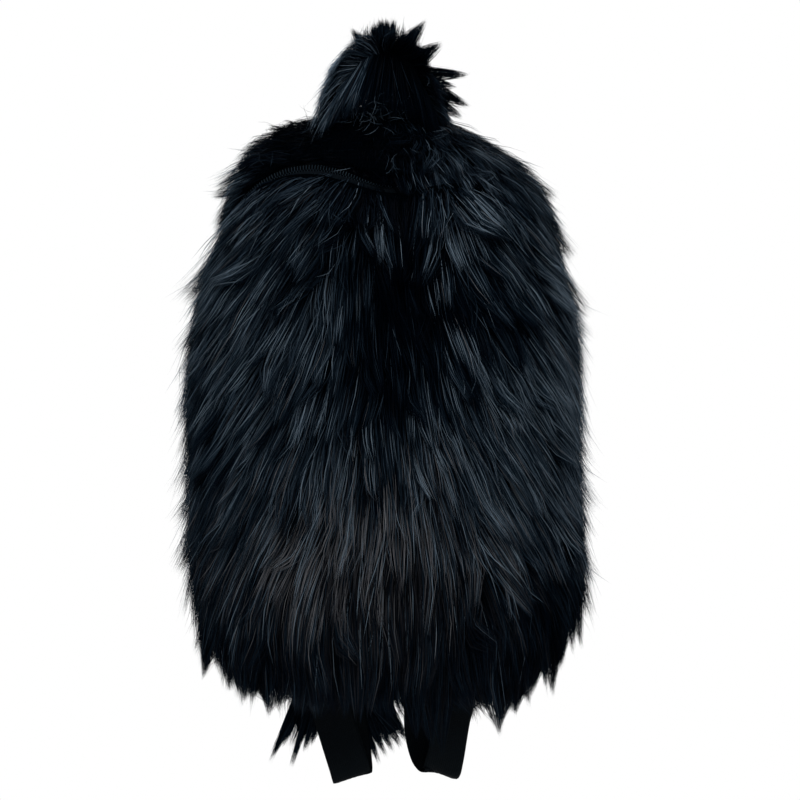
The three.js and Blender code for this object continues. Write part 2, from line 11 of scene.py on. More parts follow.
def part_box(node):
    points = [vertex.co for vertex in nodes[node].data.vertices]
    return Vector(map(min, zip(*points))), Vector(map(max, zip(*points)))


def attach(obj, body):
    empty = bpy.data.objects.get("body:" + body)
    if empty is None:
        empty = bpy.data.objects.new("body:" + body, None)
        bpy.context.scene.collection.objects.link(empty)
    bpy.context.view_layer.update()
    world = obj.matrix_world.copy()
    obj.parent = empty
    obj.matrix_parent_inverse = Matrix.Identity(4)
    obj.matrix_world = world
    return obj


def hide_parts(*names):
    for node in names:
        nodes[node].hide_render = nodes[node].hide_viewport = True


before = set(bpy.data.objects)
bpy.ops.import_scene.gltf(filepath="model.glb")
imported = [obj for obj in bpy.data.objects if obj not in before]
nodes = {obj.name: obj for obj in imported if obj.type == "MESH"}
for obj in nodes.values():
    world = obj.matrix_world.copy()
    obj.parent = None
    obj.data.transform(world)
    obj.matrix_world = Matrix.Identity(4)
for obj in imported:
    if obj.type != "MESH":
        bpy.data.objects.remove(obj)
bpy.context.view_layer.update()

up = np.array([0.0, 0.0, 1.0])

# camera, lights and floor
studio = {
    "cameraDistance": 2.4,
    "cameraAim": (0.01125, -0.2535),  # x and z of the picture's middle
    "pictureWidth": 0.6,
    "sensor": 36,
    "floorZ": -0.76,
    "floorRadius": 1.35,
    "floorColour": (0.93, 0.93, 0.93, 1),
    "floorRoughness": 0.9,
    "whiteBehind": 1.0,
    "roomLight": 0.10,
    "roomColour": (0.93, 0.97, 1, 1),
}
# name, place, aimed at, size, watts
lamps = [
    ("keyLight", (-1.5, -2.2, 1.2), (0, 0, -0.25), 1.1, 46),
    ("fillLight", (1.9, -1.9, 0.3), (0, 0, -0.25), 1.2, 20),
    ("lowLight", (0.1, -2.0, -0.7), (0, 0, -0.33), 0.9, 9),
    ("backLight", (0.3, 2.4, 1.0), (0, 0, -0.25), 1.4, 30),
    ("floorLight", (0, 0, 1.6), (0, 0, -0.76), 2.2, 34),
]


def aim(obj, target):
    obj.rotation_euler = (Vector(target) - obj.location).to_track_quat("-Z", "Y").to_euler()


def makeStudio():
    scene = bpy.context.scene
    scene.view_settings.view_transform = "Standard"
    scene.view_settings.look = "None"

    cameraData = bpy.data.cameras.new("camera")
    cameraData.sensor_width = studio["sensor"]
    cameraData.lens = studio["sensor"] * studio["cameraDistance"] / studio["pictureWidth"]
    camera = bpy.data.objects.new("camera", cameraData)
    x, z = studio["cameraAim"]
    camera.location = (x, -studio["cameraDistance"], z)
    scene.collection.objects.link(camera)
    aim(camera, (x, 0, z))
    scene.camera = camera

    for name, place, target, size, watts in lamps:
        data = bpy.data.lights.new(name, "AREA")
        data.shape = "DISK"
        data.size = size
        data.energy = watts
        lamp = bpy.data.objects.new(name, data)
        lamp.location = place
        scene.collection.objects.link(lamp)
        aim(lamp, target)

    world = bpy.data.worlds.new("studioWorld")
    scene.world = world
    world.use_nodes = True
    tree = world.node_tree
    tree.nodes.clear()
    white = {"Color": (1, 1, 1, 1), "Strength": studio["whiteBehind"]}
    room = {"Color": studio["roomColour"], "Strength": studio["roomLight"]}
    seen, lit = [addNode(tree, "ShaderNodeBackground", light).outputs[0] for light in (white, room)]
    direct = addNode(tree, "ShaderNodeLightPath").outputs["Is Camera Ray"]
    pick = addNode(tree, "ShaderNodeMixShader", {0: direct, 1: lit, 2: seen})
    addNode(tree, "ShaderNodeOutputWorld", {"Surface": pick.outputs[0]})

    bpy.ops.mesh.primitive_circle_add(
        vertices=96, radius=studio["floorRadius"], fill_type="NGON", location=(0, 0, studio["floorZ"])
    )
    floor = bpy.context.object
    floor.name = "floor"
    paint, _, shader = newMaterial("paleFloor")
    shader.inputs["Base Color"].default_value = studio["floorColour"]
    shader.inputs["Roughness"].default_value = studio["floorRoughness"]
    floor.data.materials.append(paint)
    print("studio ready")


# material helpers
def newMaterial(name):
    material = bpy.data.materials.new(name)
    material.use_nodes = True
    tree = material.node_tree
    shader = tree.nodes["Principled BSDF"]
    return material, tree, shader


def addNode(tree, kind, inputs=None, **settings):
    # the settings come before the inputs, since some of them make the node's sockets
    node = tree.nodes.new(kind)
    for key, value in settings.items():
        setattr(node, key, value)
    for key, value in (inputs or {}).items():
        if isinstance(value, bpy.types.NodeSocket):
            tree.links.new(value, node.inputs[key])
        else:
            node.inputs[key].default_value = value
    return node


def mathNode(tree, operation, a, b=0.0):
    return addNode(tree, "ShaderNodeMath", {0: a, 1: b}, operation=operation).outputs[0]


def tinted(tree, first, second):
    # one colour times another
    node = addNode(tree, "ShaderNodeMix", {"Factor": 1.0}, data_type="RGBA", blend_type="MULTIPLY")
    for socket, value in ((node.inputs[6], first), (node.inputs[7], second)):
        if isinstance(value, bpy.types.NodeSocket):
            tree.links.new(value, socket)
        else:
            socket.default_value = value
    return node.outputs[2]


def ramp(tree, factor, stops):
    node = addNode(tree, "ShaderNodeValToRGB", {"Fac": factor})
    elements = node.color_ramp.elements
    while len(elements) < len(stops):
        elements.new(0.5)
    for element, (place, colour) in zip(elements, stops):
        element.position = place
        element.color = (*colour, 1)
    return node.outputs["Color"]


def newGroup(name, inputs, outputs):
    group = bpy.data.node_groups.new(name, "ShaderNodeTree")
    for label, kind, value in inputs:
        socket = group.interface.new_socket(label, in_out="INPUT", socket_type=kind)
        if value is not None:
            socket.default_value = value
    for label, kind in outputs:
        group.interface.new_socket(label, in_out="OUTPUT", socket_type=kind)
    start = group.nodes.new("NodeGroupInput")
    end = group.nodes.new("NodeGroupOutput")
    return group, start, end


# cloth, as far as all fabrics share it
clothFinish = {
    "crossing": 0.35,  # how far the crossings of the threads add to their relief
    "relief": 0.7,
    # shares of the threads, the patches and the specks in the colour
    "threads": 0.6,
    "patches": 0.5,
    "specks": 0.25,
    "patchesPerMetre": 24.0,
    "specksPerMetre": 700.0,
    "evenness": (-0.08, 0.10),  # change of the roughness between the patches and on them
    "sheenRoughness": 0.5,
}
wearFinish = {"detail": 4.0, "roughness": 0.6, "fineDetail": 2.0, "specksFrom": 0.55, "specksFull": 0.8}


def makeWeaveGroup():
    # plain weave: threads along and across cross over and under each other
    inputs = [
        ("Vector", "NodeSocketVector", None),
        ("Along", "NodeSocketFloat", 800.0),
        ("Across", "NodeSocketFloat", 800.0),
    ]
    outputs = [("Height", "NodeSocketFloat"), ("Thread", "NodeSocketFloat")]
    group, start, end = newGroup("threadWeave", inputs, outputs)
    split = addNode(group, "ShaderNodeSeparateXYZ", {0: start.outputs["Vector"]})
    waves = []
    for axis, count in ((0, "Across"), (1, "Along")):
        turns = mathNode(group, "MULTIPLY", split.outputs[axis], start.outputs[count])
        waves.append(mathNode(group, "SINE", mathNode(group, "MULTIPLY", turns, math.pi)))
    crossing = mathNode(group, "MULTIPLY", waves[0], waves[1])
    over, under = [mathNode(group, "ABSOLUTE", wave) for wave in waves]
    bumps = mathNode(group, "MULTIPLY", over, under)
    raisedBy = {0: crossing, 1: clothFinish["crossing"], 2: bumps}
    height = addNode(group, "ShaderNodeMath", raisedBy, operation="MULTIPLY_ADD").outputs[0]
    group.links.new(height, end.inputs["Height"])
    group.links.new(bumps, end.inputs["Thread"])
    return group


def makeWearGroup():
    # slow patches of lint and handling, finer specks on top
    inputs = [
        ("Vector", "NodeSocketVector", None),
        ("Size", "NodeSocketFloat", 30.0),
        ("Specks", "NodeSocketFloat", 900.0),
    ]
    outputs = [("Patches", "NodeSocketFloat"), ("Specks", "NodeSocketFloat")]
    group, start, end = newGroup("lintAndWear", inputs, outputs)
    w = wearFinish
    slow = addNode(group, "ShaderNodeTexNoise", {
        "Vector": start.outputs["Vector"], "Scale": start.outputs["Size"],
        "Detail": w["detail"], "Roughness": w["roughness"],
    })
    fine = addNode(group, "ShaderNodeTexNoise", {
        "Vector": start.outputs["Vector"], "Scale": start.outputs["Specks"], "Detail": w["fineDetail"],
    })
    speckRange = {0: fine.outputs[0], 1: w["specksFrom"], 2: w["specksFull"]}
    specks = addNode(group, "ShaderNodeMapRange", speckRange)
    group.links.new(slow.outputs[0], end.inputs["Patches"])
    group.links.new(specks.outputs[0], end.inputs["Specks"])
    return group


def placeGroup(tree, group, inputs):
    return addNode(tree, "ShaderNodeGroup", inputs, node_tree=group)


# materials
hairFinish = {
    "roughness": 0.46,
    # kept low, since the highlights are painted into the tones
    "specular": 0.007,
    "specularTint": (0.52, 0.76, 1.0),
    # tone along the map's first axis: cool strands up to 0.8, warm ones above
    # tone differs at random from strand to strand; its paler end is painted highlight, for the glints on the
    # fur
    "tones": [
        (0.0, (0.0001, 0.0004, 0.0014)),
        (0.2, (0.0004, 0.0018, 0.0044)),
        (0.4, (0.0056, 0.0110, 0.0178)),
        (0.6, (0.0300, 0.0460, 0.0650)),
        (0.79, (0.1250, 0.1660, 0.2080)),
        (0.81, (0.0003, 0.0005, 0.0009)),
        (0.9, (0.0100, 0.0108, 0.0135)),
        (1.0, (0.1300, 0.1330, 0.1440)),
    ],
    # painted shade deep in the pile: brightness at the root and halfway, beside 1 at the tip
    "roots": 0.10,
    "halfway": 0.50,
}


def makeHairMaterial():
    material, tree, shader = newMaterial("furHair")
    place = addNode(tree, "ShaderNodeUVMap", uv_map="OFBake")
    split = addNode(tree, "ShaderNodeSeparateXYZ", {0: place.outputs[0]})
    tone = ramp(tree, split.outputs[0], hairFinish["tones"])
    # painted shade deep in the pile: the strands darken towards their roots
    places = ((0.0, hairFinish["roots"]), (0.5, hairFinish["halfway"]), (1.0, 1.0))
    shade = ramp(tree, split.outputs[1], [(place, (dim,) * 3) for place, dim in places])
    tree.links.new(tinted(tree, tone, shade), shader.inputs["Base Color"])
    shader.inputs["Roughness"].default_value = hairFinish["roughness"]
    shader.inputs["Specular IOR Level"].default_value = hairFinish["specular"]
    shader.inputs["Specular Tint"].default_value = (*hairFinish["specularTint"], 1)
    return material


def makeClothMaterial(
    name, weave, wear, dark, light, threads, bump, roughness, sheen=0.0, coords="UV", specular=0.018
):
    f = clothFinish
    material, tree, shader = newMaterial(name)
    place = addNode(tree, "ShaderNodeTexCoord").outputs[coords]
    woven = placeGroup(tree, weave, {"Vector": place, "Along": threads[0], "Across": threads[1]}).outputs
    worn = placeGroup(
        tree, wear, {"Vector": place, "Size": f["patchesPerMetre"], "Specks": f["specksPerMetre"]}
    ).outputs
    amount = mathNode(tree, "MULTIPLY", woven["Thread"], f["threads"])
    amount = mathNode(tree, "ADD", amount, mathNode(tree, "MULTIPLY", worn["Patches"], f["patches"]))
    amount = mathNode(tree, "ADD", amount, mathNode(tree, "MULTIPLY", worn["Specks"], f["specks"]))
    tree.links.new(ramp(tree, amount, [(0.1, dark), (1.0, light)]), shader.inputs["Base Color"])
    low, high = [roughness + change for change in f["evenness"]]
    rough = addNode(tree, "ShaderNodeMapRange", {0: worn["Patches"], 3: low, 4: high})
    tree.links.new(rough.outputs[0], shader.inputs["Roughness"])
    relief = {"Height": woven["Height"], "Strength": f["relief"], "Distance": bump}
    tree.links.new(addNode(tree, "ShaderNodeBump", relief).outputs[0], shader.inputs["Normal"])
    shader.inputs["Specular IOR Level"].default_value = specular
    shader.inputs["Sheen Weight"].default_value = sheen
    shader.inputs["Sheen Roughness"].default_value = f["sheenRoughness"]
    return material


hardFinish = {
    "patchesPerMetre": 60.0,
    "specksPerMetre": 2500.0,
    "shade": (0.75, 1.35),  # colour between the patches and on them
    "scuffed": 0.2,  # roughness that the specks add
}


def makeHardMaterial(name, wear, colour, roughness, specular):
    f = hardFinish
    material, tree, shader = newMaterial(name)
    place = addNode(tree, "ShaderNodeTexCoord").outputs["Object"]
    worn = placeGroup(
        tree, wear, {"Vector": place, "Size": f["patchesPerMetre"], "Specks": f["specksPerMetre"]}
    ).outputs
    low, high = f["shade"]
    shade = addNode(tree, "ShaderNodeMapRange", {0: worn["Patches"], 3: low, 4: high}).outputs[0]
    tree.links.new(tinted(tree, (*colour, 1), shade), shader.inputs["Base Color"])
    rough = addNode(
        tree, "ShaderNodeMapRange", {0: worn["Specks"], 3: roughness, 4: roughness + f["scuffed"]}
    )
    tree.links.new(rough.outputs[0], shader.inputs["Roughness"])
    shader.inputs["Specular IOR Level"].default_value = specular
    return material


# mesh helpers
def addMesh(name, points, faces, uv=None):
    mesh = bpy.data.meshes.new(name)
    mesh.from_pydata([tuple(p) for p in points], [], [tuple(int(i) for i in f) for f in faces])
    if uv is not None:
        layer = mesh.uv_layers.new(name="UVMap")
        corners = np.zeros(len(mesh.loops), int)
        mesh.loops.foreach_get("vertex_index", corners)
        layer.data.foreach_set("uv", np.asarray(uv, float)[corners].ravel())
    mesh.update()
    return placed(mesh)


def placed(mesh):
    mesh.shade_smooth()
    obj = bpy.data.objects.new(mesh.name, mesh)
    bpy.context.scene.collection.objects.link(obj)
    return obj


def gridFaces(rows, columns, closed=False, ring=False):
    # closed: the last column joins the first; ring: the last row joins the first
    faces = []
    for i in range(rows if ring else rows - 1):
        low, high = i * columns, (i + 1) % rows * columns
        for j in range(columns if closed else columns - 1):
            k = (j + 1) % columns
            faces.append((low + j, low + k, high + k, high + j))
    return faces


def tubeFaces(rings, size, base=0):
    # a tube of rings with both ends closed, in points that start at base
    faces = gridFaces(rings, size, closed=True)
    faces.append(tuple(reversed(range(size))))
    faces.append(tuple(range((rings - 1) * size, rings * size)))
    return [tuple(base + i for i in face) for face in faces]


def loftMesh(name, rings, uv=None):
    points = [p for ring in rings for p in ring]
    return addMesh(name, points, tubeFaces(len(rings), len(rings[0])), uv)


def circle(sides):
    # cosine and sine of evenly spaced turns
    turns = [k / sides * 2 * math.pi for k in range(sides)]
    return [(math.cos(turn), math.sin(turn)) for turn in turns]


def rising(x, middle, width):
    # a soft step from 0 to 1; it falls where the width is negative
    return 1 / (1 + np.exp(-(x - middle) / width))


def bell(x, middle, width):
    return np.exp(-((x - middle) / width) ** 2)


def fade(x, start, reach):
    # 0 up to the start, then straight to 1
    return np.clip((x - start) / reach, 0, 1)


def unit(vectors):
    length = np.linalg.norm(vectors, axis=-1, keepdims=True)
    return vectors / np.maximum(length, 1e-12)


def finishPiece(obj, material, slot, *replaced):
    obj.data.materials.append(material)
    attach(obj, "root")
    if replaced:
        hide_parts(*replaced)
    return obj


# the body's surface, measured from the frame
body = {
    "axisY": 0.0104,  # just in front of the back rim
    "rows": 110,
    "columns": 121,
    "topInset": 0.0006,
    "raysFrom": 0.4,  # they start this far out from the axis
    "holeDepth": 0.006,  # a ray that goes this much deeper than its neighbours went through a gap
    "rowsBeside": 3,
    "topRows": 8,  # no gaps are looked for in these
    "smoothing": (3, 9),  # rounds up and down, then round the body
    "zipEndLeft": -0.148,  # where the zip line meets the back edge
    "zipEndRight": -0.152,
    "zipSpare": 0.018,
    "zipSamples": 60,
    "zipSmoothing": 4,
    "normalStep": (0.012, 0.006),  # in turn and in height
}


def treeOf(*names):
    points, faces = [], []
    for name in names:
        mesh = nodes[name].data
        start = len(points)
        points += [v.co.copy() for v in mesh.vertices]
        faces += [[start + i for i in p.vertices] for p in mesh.polygons]
    return BVHTree.FromPolygons(points, faces)


def softened(grid, rounds, axis):
    for _ in range(rounds):
        padded = np.pad(grid, [(1, 1) if i == axis else (0, 0) for i in range(2)], mode="edge")
        low = np.take(padded, range(0, grid.shape[axis]), axis)
        high = np.take(padded, range(2, grid.shape[axis] + 2), axis)
        grid = grid * 0.5 + (low + high) * 0.25
    return grid


def measureBody():
    low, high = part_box("bag_wall")
    body["base"] = low.z + body["topInset"]
    body["top"] = high.z - body["topInset"]
    tree = treeOf("bag_wall", "zip", "back_panel")
    heights = np.linspace(body["base"], body["top"], body["rows"])
    angles = np.linspace(0, math.pi, body["columns"])
    grid = np.zeros((body["rows"], body["columns"]))
    for i, z in enumerate(heights):
        axis = Vector((0, body["axisY"], z))
        for j, angle in enumerate(angles):
            out = Vector((math.cos(angle), -math.sin(angle), 0))
            hit = tree.ray_cast(axis + out * body["raysFrom"], -out)[0]
            grid[i, j] = (hit - axis).dot(out) if hit else 0.0
    # rays that slip through beside the zip are filled from their neighbours
    beside = body["rowsBeside"]
    wide = np.pad(grid, ((beside, beside), (0, 0)), mode="edge")
    middle = np.median([wide[k:k + body["rows"]] for k in range(2 * beside + 1)], 0)
    holes = grid < middle - body["holeDepth"]
    holes[-body["topRows"]:] = False
    grid = np.where(holes, middle, grid)
    for axis, rounds in enumerate(body["smoothing"]):
        grid = softened(grid, rounds, axis)
    body["radius"] = grid
    print("body measured from", round(body["base"], 4), "to", round(body["top"], 4))


def onBody(turn, z):
    grid = body["radius"]
    v = np.clip((z - body["base"]) / (body["top"] - body["base"]), 0, 1) * (body["rows"] - 1)
    u = np.clip(turn, 0, 1) * (body["columns"] - 1)
    i = np.minimum(v.astype(int), body["rows"] - 2)
    j = np.minimum(u.astype(int), body["columns"] - 2)
    p, q = v - i, u - j
    radius = (grid[i, j] * (1 - q) + grid[i, j + 1] * q) * (1 - p)
    radius += (grid[i + 1, j] * (1 - q) + grid[i + 1, j + 1] * q) * p
    angle = np.clip(turn, 0, 1) * math.pi
    return np.stack([radius * np.cos(angle), body["axisY"] - radius * np.sin(angle), z], -1)


def bodyNormal(turn, z):
    stepTurn, stepZ = body["normalStep"]
    top, base = body["top"], body["base"]
    around = onBody(np.minimum(turn + stepTurn, 1), z) - onBody(np.maximum(turn - stepTurn, 0), z)
    rise = onBody(turn, np.minimum(z + stepZ, top)) - onBody(turn, np.maximum(z - stepZ, base))
    return unit(np.cross(rise, around))


def turnOf(points):
    return np.arctan2(body["axisY"] - points[..., 1], points[..., 0]) / math.pi


def measureZipLine():
    # midway between the zip's lowest and highest point on upright planes through the body's axis
    mesh = nodes["zip"].data
    co = np.array([v.co for v in mesh.vertices])
    turn = turnOf(co)
    start, end = np.array([e.vertices for e in mesh.edges]).T
    spare = body["zipSpare"]
    samples = np.linspace(turn.min() + spare, turn.max() - spare, body["zipSamples"])
    middle = []
    for at in samples:
        crosses = (turn[start] - at) * (turn[end] - at) <= 0
        p, q = start[crosses], end[crosses]
        span = np.where(turn[q] == turn[p], 1, turn[q] - turn[p])
        z = co[p, 2] + (co[q, 2] - co[p, 2]) * (at - turn[p]) / span
        middle.append((z.min() + z.max()) / 2)
    middle = softened(np.array(middle)[None, :], body["zipSmoothing"], 1)[0]
    body["zipTurn"] = np.concatenate([[0.0], samples, [1.0]])
    body["zipZ"] = np.concatenate([[body["zipEndRight"]], middle, [body["zipEndLeft"]]])
    body["zipFrom"], body["zipTo"] = samples[0], samples[-1]


def zipHeight(turn):
    return np.interp(turn, body["zipTurn"], body["zipZ"])


# hair
hair = {
    "steps": (0.0, 0.34, 0.68, 1.0),
    "taper": (0.7, 1.0, 0.72),  # width at each step but the last, which is a point
    "width": 0.00053,
    "twist": 0.9,
    "mapWidth": 0.004,
    "pullSpread": (0.85, 1.08),
    "proudPull": 0.88,  # how tightly proud locks draw to a point
    "proudLength": 0.040,  # from this length on they rise in full
    "proudBend": 1.4,
    "keptApart": 0.16,  # share of the distance to the guide that is left at the tip
    "bend": 1.15,
    "fray": 0.0007,
    "frayBend": 1.5,
    "strayPull": 0.05,
    "strayFray": 0.0045,
    "strayTone": 0.22,
    "raised": 0.012,  # how far paler strands stand above darker ones
    # places on the tone map: the least value, the last cool tone, then the first warm one and their span
    "leastTone": 0.02,
    "coolTop": 0.785,
    "warmFrom": 0.82,
    "warmSpan": 0.175,
}


def scatter(random, count, accept):
    # even over the surface wherever accept allows
    cells = 60
    turns = (np.arange(cells) + 0.5) / cells
    heights = body["base"] + (np.arange(cells * 2) + 0.5) / (cells * 2) * (body["top"] - body["base"])
    turn, z = [a.ravel() for a in np.meshgrid(turns, heights)]
    stepTurn, stepZ = 0.5 / cells, (heights[1] - heights[0]) / 2
    around = onBody(turn + stepTurn, z) - onBody(turn - stepTurn, z)
    rise = onBody(turn, z + stepZ) - onBody(turn, z - stepZ)
    area = np.linalg.norm(np.cross(around, rise), axis=-1)
    weight = area * accept(turn, z)
    pick = random.choice(len(turn), count, p=weight / weight.sum())
    spread = random.uniform(-1, 1, (count, 2))
    return turn[pick] + spread[:, 0] * stepTurn, z[pick] + spread[:, 1] * stepZ


def nearest(points, guides):
    tree = KDTree(len(guides))
    for i, guide in enumerate(guides):
        tree.insert(guide, i)
    tree.balance()
    return np.array([tree.find(p)[1] for p in points])


def smoothNoise(points, scale, seed):
    # a few crossed waves, from -1 to 1, the same each run
    random = np.random.default_rng(seed)
    total = np.zeros(len(points))
    for _ in range(6):
        direction = random.normal(size=3)
        direction /= np.linalg.norm(direction)
        phase, pace = random.uniform(0, 6.3), random.uniform(0.6, 1.6)
        total += np.sin(points @ direction * pace / scale + phase)
    return total / 3.2


def strandMesh(name, lines, facing, width, tone, random, shadeFrom=0.0):
    # each strand is a narrow strip that tapers to a point; lines is (count, 4, 3)
    count = len(lines)
    tangent = unit(np.gradient(lines, axis=1))
    face = facing[:, None, :] - tangent * (facing[:, None, :] * tangent).sum(-1, keepdims=True)
    face = unit(face)
    side = np.cross(tangent, face)
    twist = random.uniform(-hair["twist"], hair["twist"], (count, 1, 1))
    side = side * np.cos(twist) + face * np.sin(twist)
    taper = np.array(hair["taper"])[None, :, None] * 0.5
    half = side[:, :3] * taper * width[:, None, None]
    points = np.zeros((count, 7, 3))
    points[:, 0:6:2] = lines[:, :3] - half
    points[:, 1:6:2] = lines[:, :3] + half
    points[:, 6] = lines[:, 3]
    # two quads and the triangle at the tip
    corners = np.array([0, 1, 3, 2, 2, 3, 5, 4, 4, 5, 6])
    loops = (np.arange(count)[:, None] * 7 + corners).ravel()
    starts = (np.arange(count)[:, None] * 11 + np.array([0, 4, 8])).ravel()
    uv = np.zeros((count, 7, 2))
    across = np.array([-1, 1, -1, 1, -1, 1, 0]) * hair["mapWidth"] / 2
    uv[:, :, 0] = np.clip(tone, hair["mapWidth"], 1 - hair["mapWidth"])[:, None] + across
    along = np.repeat(np.clip(hair["steps"], 0.02, 0.98), 2)[:7]
    # shadeFrom takes away part of the painted root shade
    uv[:, :, 1] = np.reshape(shadeFrom, (-1, 1)) * (0.98 - along) + along

    mesh = bpy.data.meshes.new(name)
    mesh.vertices.add(count * 7)
    mesh.vertices.foreach_set("co", points.ravel())
    mesh.loops.add(len(loops))
    mesh.loops.foreach_set("vertex_index", loops)
    mesh.polygons.add(count * 3)
    mesh.polygons.foreach_set("loop_start", starts)
    layer = mesh.uv_layers.new(name="OFBake")
    layer.data.foreach_set("uv", uv.reshape(-1, 2)[loops].ravel())
    mesh.update(calc_edges=True)
    mesh.validate()
    print(name, "strands", count)
    return placed(mesh)


def liftAt(s):
    # hair leaves its root steeply and flattens towards its tip
    return 1.9 * s - 0.9 * s * s


def overBody(turn, z, flow, length, lift, hug, droop):
    # the strand's line: it leaves the surface, follows it round, and hangs free past the base
    root = onBody(turn, z)
    lines = []
    for s in hair["steps"]:
        straight = root + flow * (length * s)[:, None]
        where = turnOf(straight)
        height = np.clip(straight[:, 2], body["base"], body["top"])
        surface = onBody(where, height)
        normal = bodyNormal(where, height)
        surface[:, 2] = straight[:, 2]
        follow = np.where(straight[:, 2] > body["top"], 0.0, hug)
        line = straight * (1 - follow)[:, None] + surface * follow[:, None]
        rise = lift * length * liftAt(s)
        line = line + normal * rise[:, None]
        line = line - up * (droop * length * s * s)[:, None]
        lines.append(line)
    return np.stack(lines, 1)


def trimmed(lines, share):
    # the same strands, shortened to a share of their length
    steps = np.array(hair["steps"])
    rows = np.arange(len(lines))
    kept = []
    for step in steps:
        at = step * share
        i = np.clip(np.searchsorted(steps, at) - 1, 0, len(steps) - 2)
        q = ((at - steps[i]) / (steps[i + 1] - steps[i]))[:, None]
        kept.append(lines[rows, i] * (1 - q) + lines[rows, i + 1] * q)
    return np.stack(kept, 1)


def gathered(lines, roots, guideLines, guideRoots, pull, atRoot):
    # strands lean towards their guide, more so at the tip
    s = np.array(hair["steps"])[None, :, None]
    amount = pull[:, None, None] * (atRoot + (1 - atRoot) * s ** hair["bend"])
    kept = (roots - guideRoots)[:, None, :] * hair["keptApart"]
    return lines * (1 - amount) + (guideLines + kept) * amount


def raised(grown, proud, rise):
    # proud hair stands off the coat, short hair less so
    lines = grown["lines"]
    length = np.linalg.norm(lines[:, -1] - lines[:, 0], axis=1)
    rise = proud * rise * np.clip(length / hair["proudLength"], 0, 1)
    s = np.array(hair["steps"])[None, :, None]
    return lines + grown["normal"][:, None, :] * rise[:, None, None] * s ** hair["proudBend"]


def clumped(grow, levels, seed, pullAt=None):
    # coarse guides first: each finer level leans towards the level before it and takes on its tone,
    # and the third one and on take the shade of the place where their wisp grows
    guide = None
    for k, level in enumerate(levels):
        grown = grow(level["count"], seed + k + 1, level)
        draw = np.random.default_rng(seed + 100 + k)
        tone = draw.normal(0, level["tone"], level["count"])
        proud = draw.uniform(0, 1, level["count"]) < level.get("proud", 0)
        grown["lines"] = raised(grown, proud, level.get("rise", 0))
        if guide:
            index = nearest(grown["root"], guide["root"])
            pull = level["pull"] * draw.uniform(*hair["pullSpread"], level["count"])
            if pullAt:
                pull = pull + (level["hemPull"] - pull) * pullAt(grown)
            held = guide["proud"][index]
            pull = np.where(held, np.maximum(pull, hair["proudPull"]), pull)
            proud = proud | held
            if "strays" in level:
                grown["free"] = draw.uniform(0, 1, level["count"]) < level["strays"]
                pull = np.where(grown["free"], hair["strayPull"], pull)
            guideLines, guideRoots = guide["lines"][index], guide["root"][index]
            grown["lines"] = gathered(
                grown["lines"], grown["root"], guideLines, guideRoots, pull, level["atRoot"]
            )
            tone += guide["tone"][index]
            if k > 1:
                grown["base"] = guide["base"][index]
        grown["tone"] = tone
        grown["proud"] = proud
        guide = grown
    fray = np.where(grown["free"], hair["strayFray"], hair["fray"])
    wander = draw.normal(0, 1, (len(fray), 3)) * fray[:, None]
    wander = wander + grown["normal"] * (grown["tone"] * hair["raised"])[:, None]
    s = np.array(hair["steps"])[None, :, None]
    grown["lines"] = grown["lines"] + wander[:, None, :] * s ** hair["frayBend"]
    return grown


def furLevels(*rows, **first):
    # locks, wisps, threads and strands; the first level may have proud locks too
    names = ("count", "loose", "uneven", "tone", "pull", "atRoot", "strays")
    levels = [dict(zip(names, row)) for row in rows]
    levels[0].update(first)
    return levels


def freeHair(root, flow, length, off, lift, droop):
    # lines of hair that follows no surface
    lines = []
    for s in hair["steps"]:
        line = root + flow * (length * s)[:, None]
        line = line + off * (lift * length * liftAt(s))[:, None]
        line[:, 2] -= droop * length * s * s
        lines.append(line)
    return np.stack(lines, 1)


def toneOf(value, warm, random):
    # cool strands lie in the lower part of the tone map and warm ones in the upper part
    value = np.clip(value, hair["leastTone"], 1)
    chosen = random.uniform(0, 1, len(value)) < warm
    return np.where(chosen, hair["warmFrom"] + value * hair["warmSpan"], value * hair["coolTop"])


# colours and widths of the hair on the smaller pieces: how uneven it is where it is darkest
smallFur = {"uneven": 0.15, "warm": 0.03, "widths": (0.65, 1.2)}


def dressed(grown, random):
    # the tone and width of each strand; strays are the palest
    f = smallFur
    base = grown["base"]
    count = len(base)
    uneven = grown["tone"] * (f["uneven"] + base / frontFur["tone"])
    tone = toneOf(base + uneven, np.full(count, f["warm"]), random)
    tone = np.where(grown["free"], np.clip(tone + hair["strayTone"], 0, hair["coolTop"]), tone)
    return tone, hair["width"] * random.uniform(*f["widths"], count)


def combed(points, normals, spread, random, loose):
    # down and outwards, within the surface, with slow swirls and a little disorder
    f = frontFur
    lean = f["lean"] * np.tanh(points[:, 0] * spread / f["lean"])
    fall = np.stack([lean, np.zeros(len(points)), -np.ones(len(points))], -1)
    (wide, first), (narrow, second) = f["swirlSizes"]
    slow = f["swirl"] * smoothNoise(points, wide, first)
    fall[:, 0] += slow + f["swirl"] * f["smallSwirls"] * smoothNoise(points, narrow, second)
    fall += random.normal(0, loose, fall.shape)
    fall -= normals * (fall * normals).sum(-1, keepdims=True)
    return unit(fall)


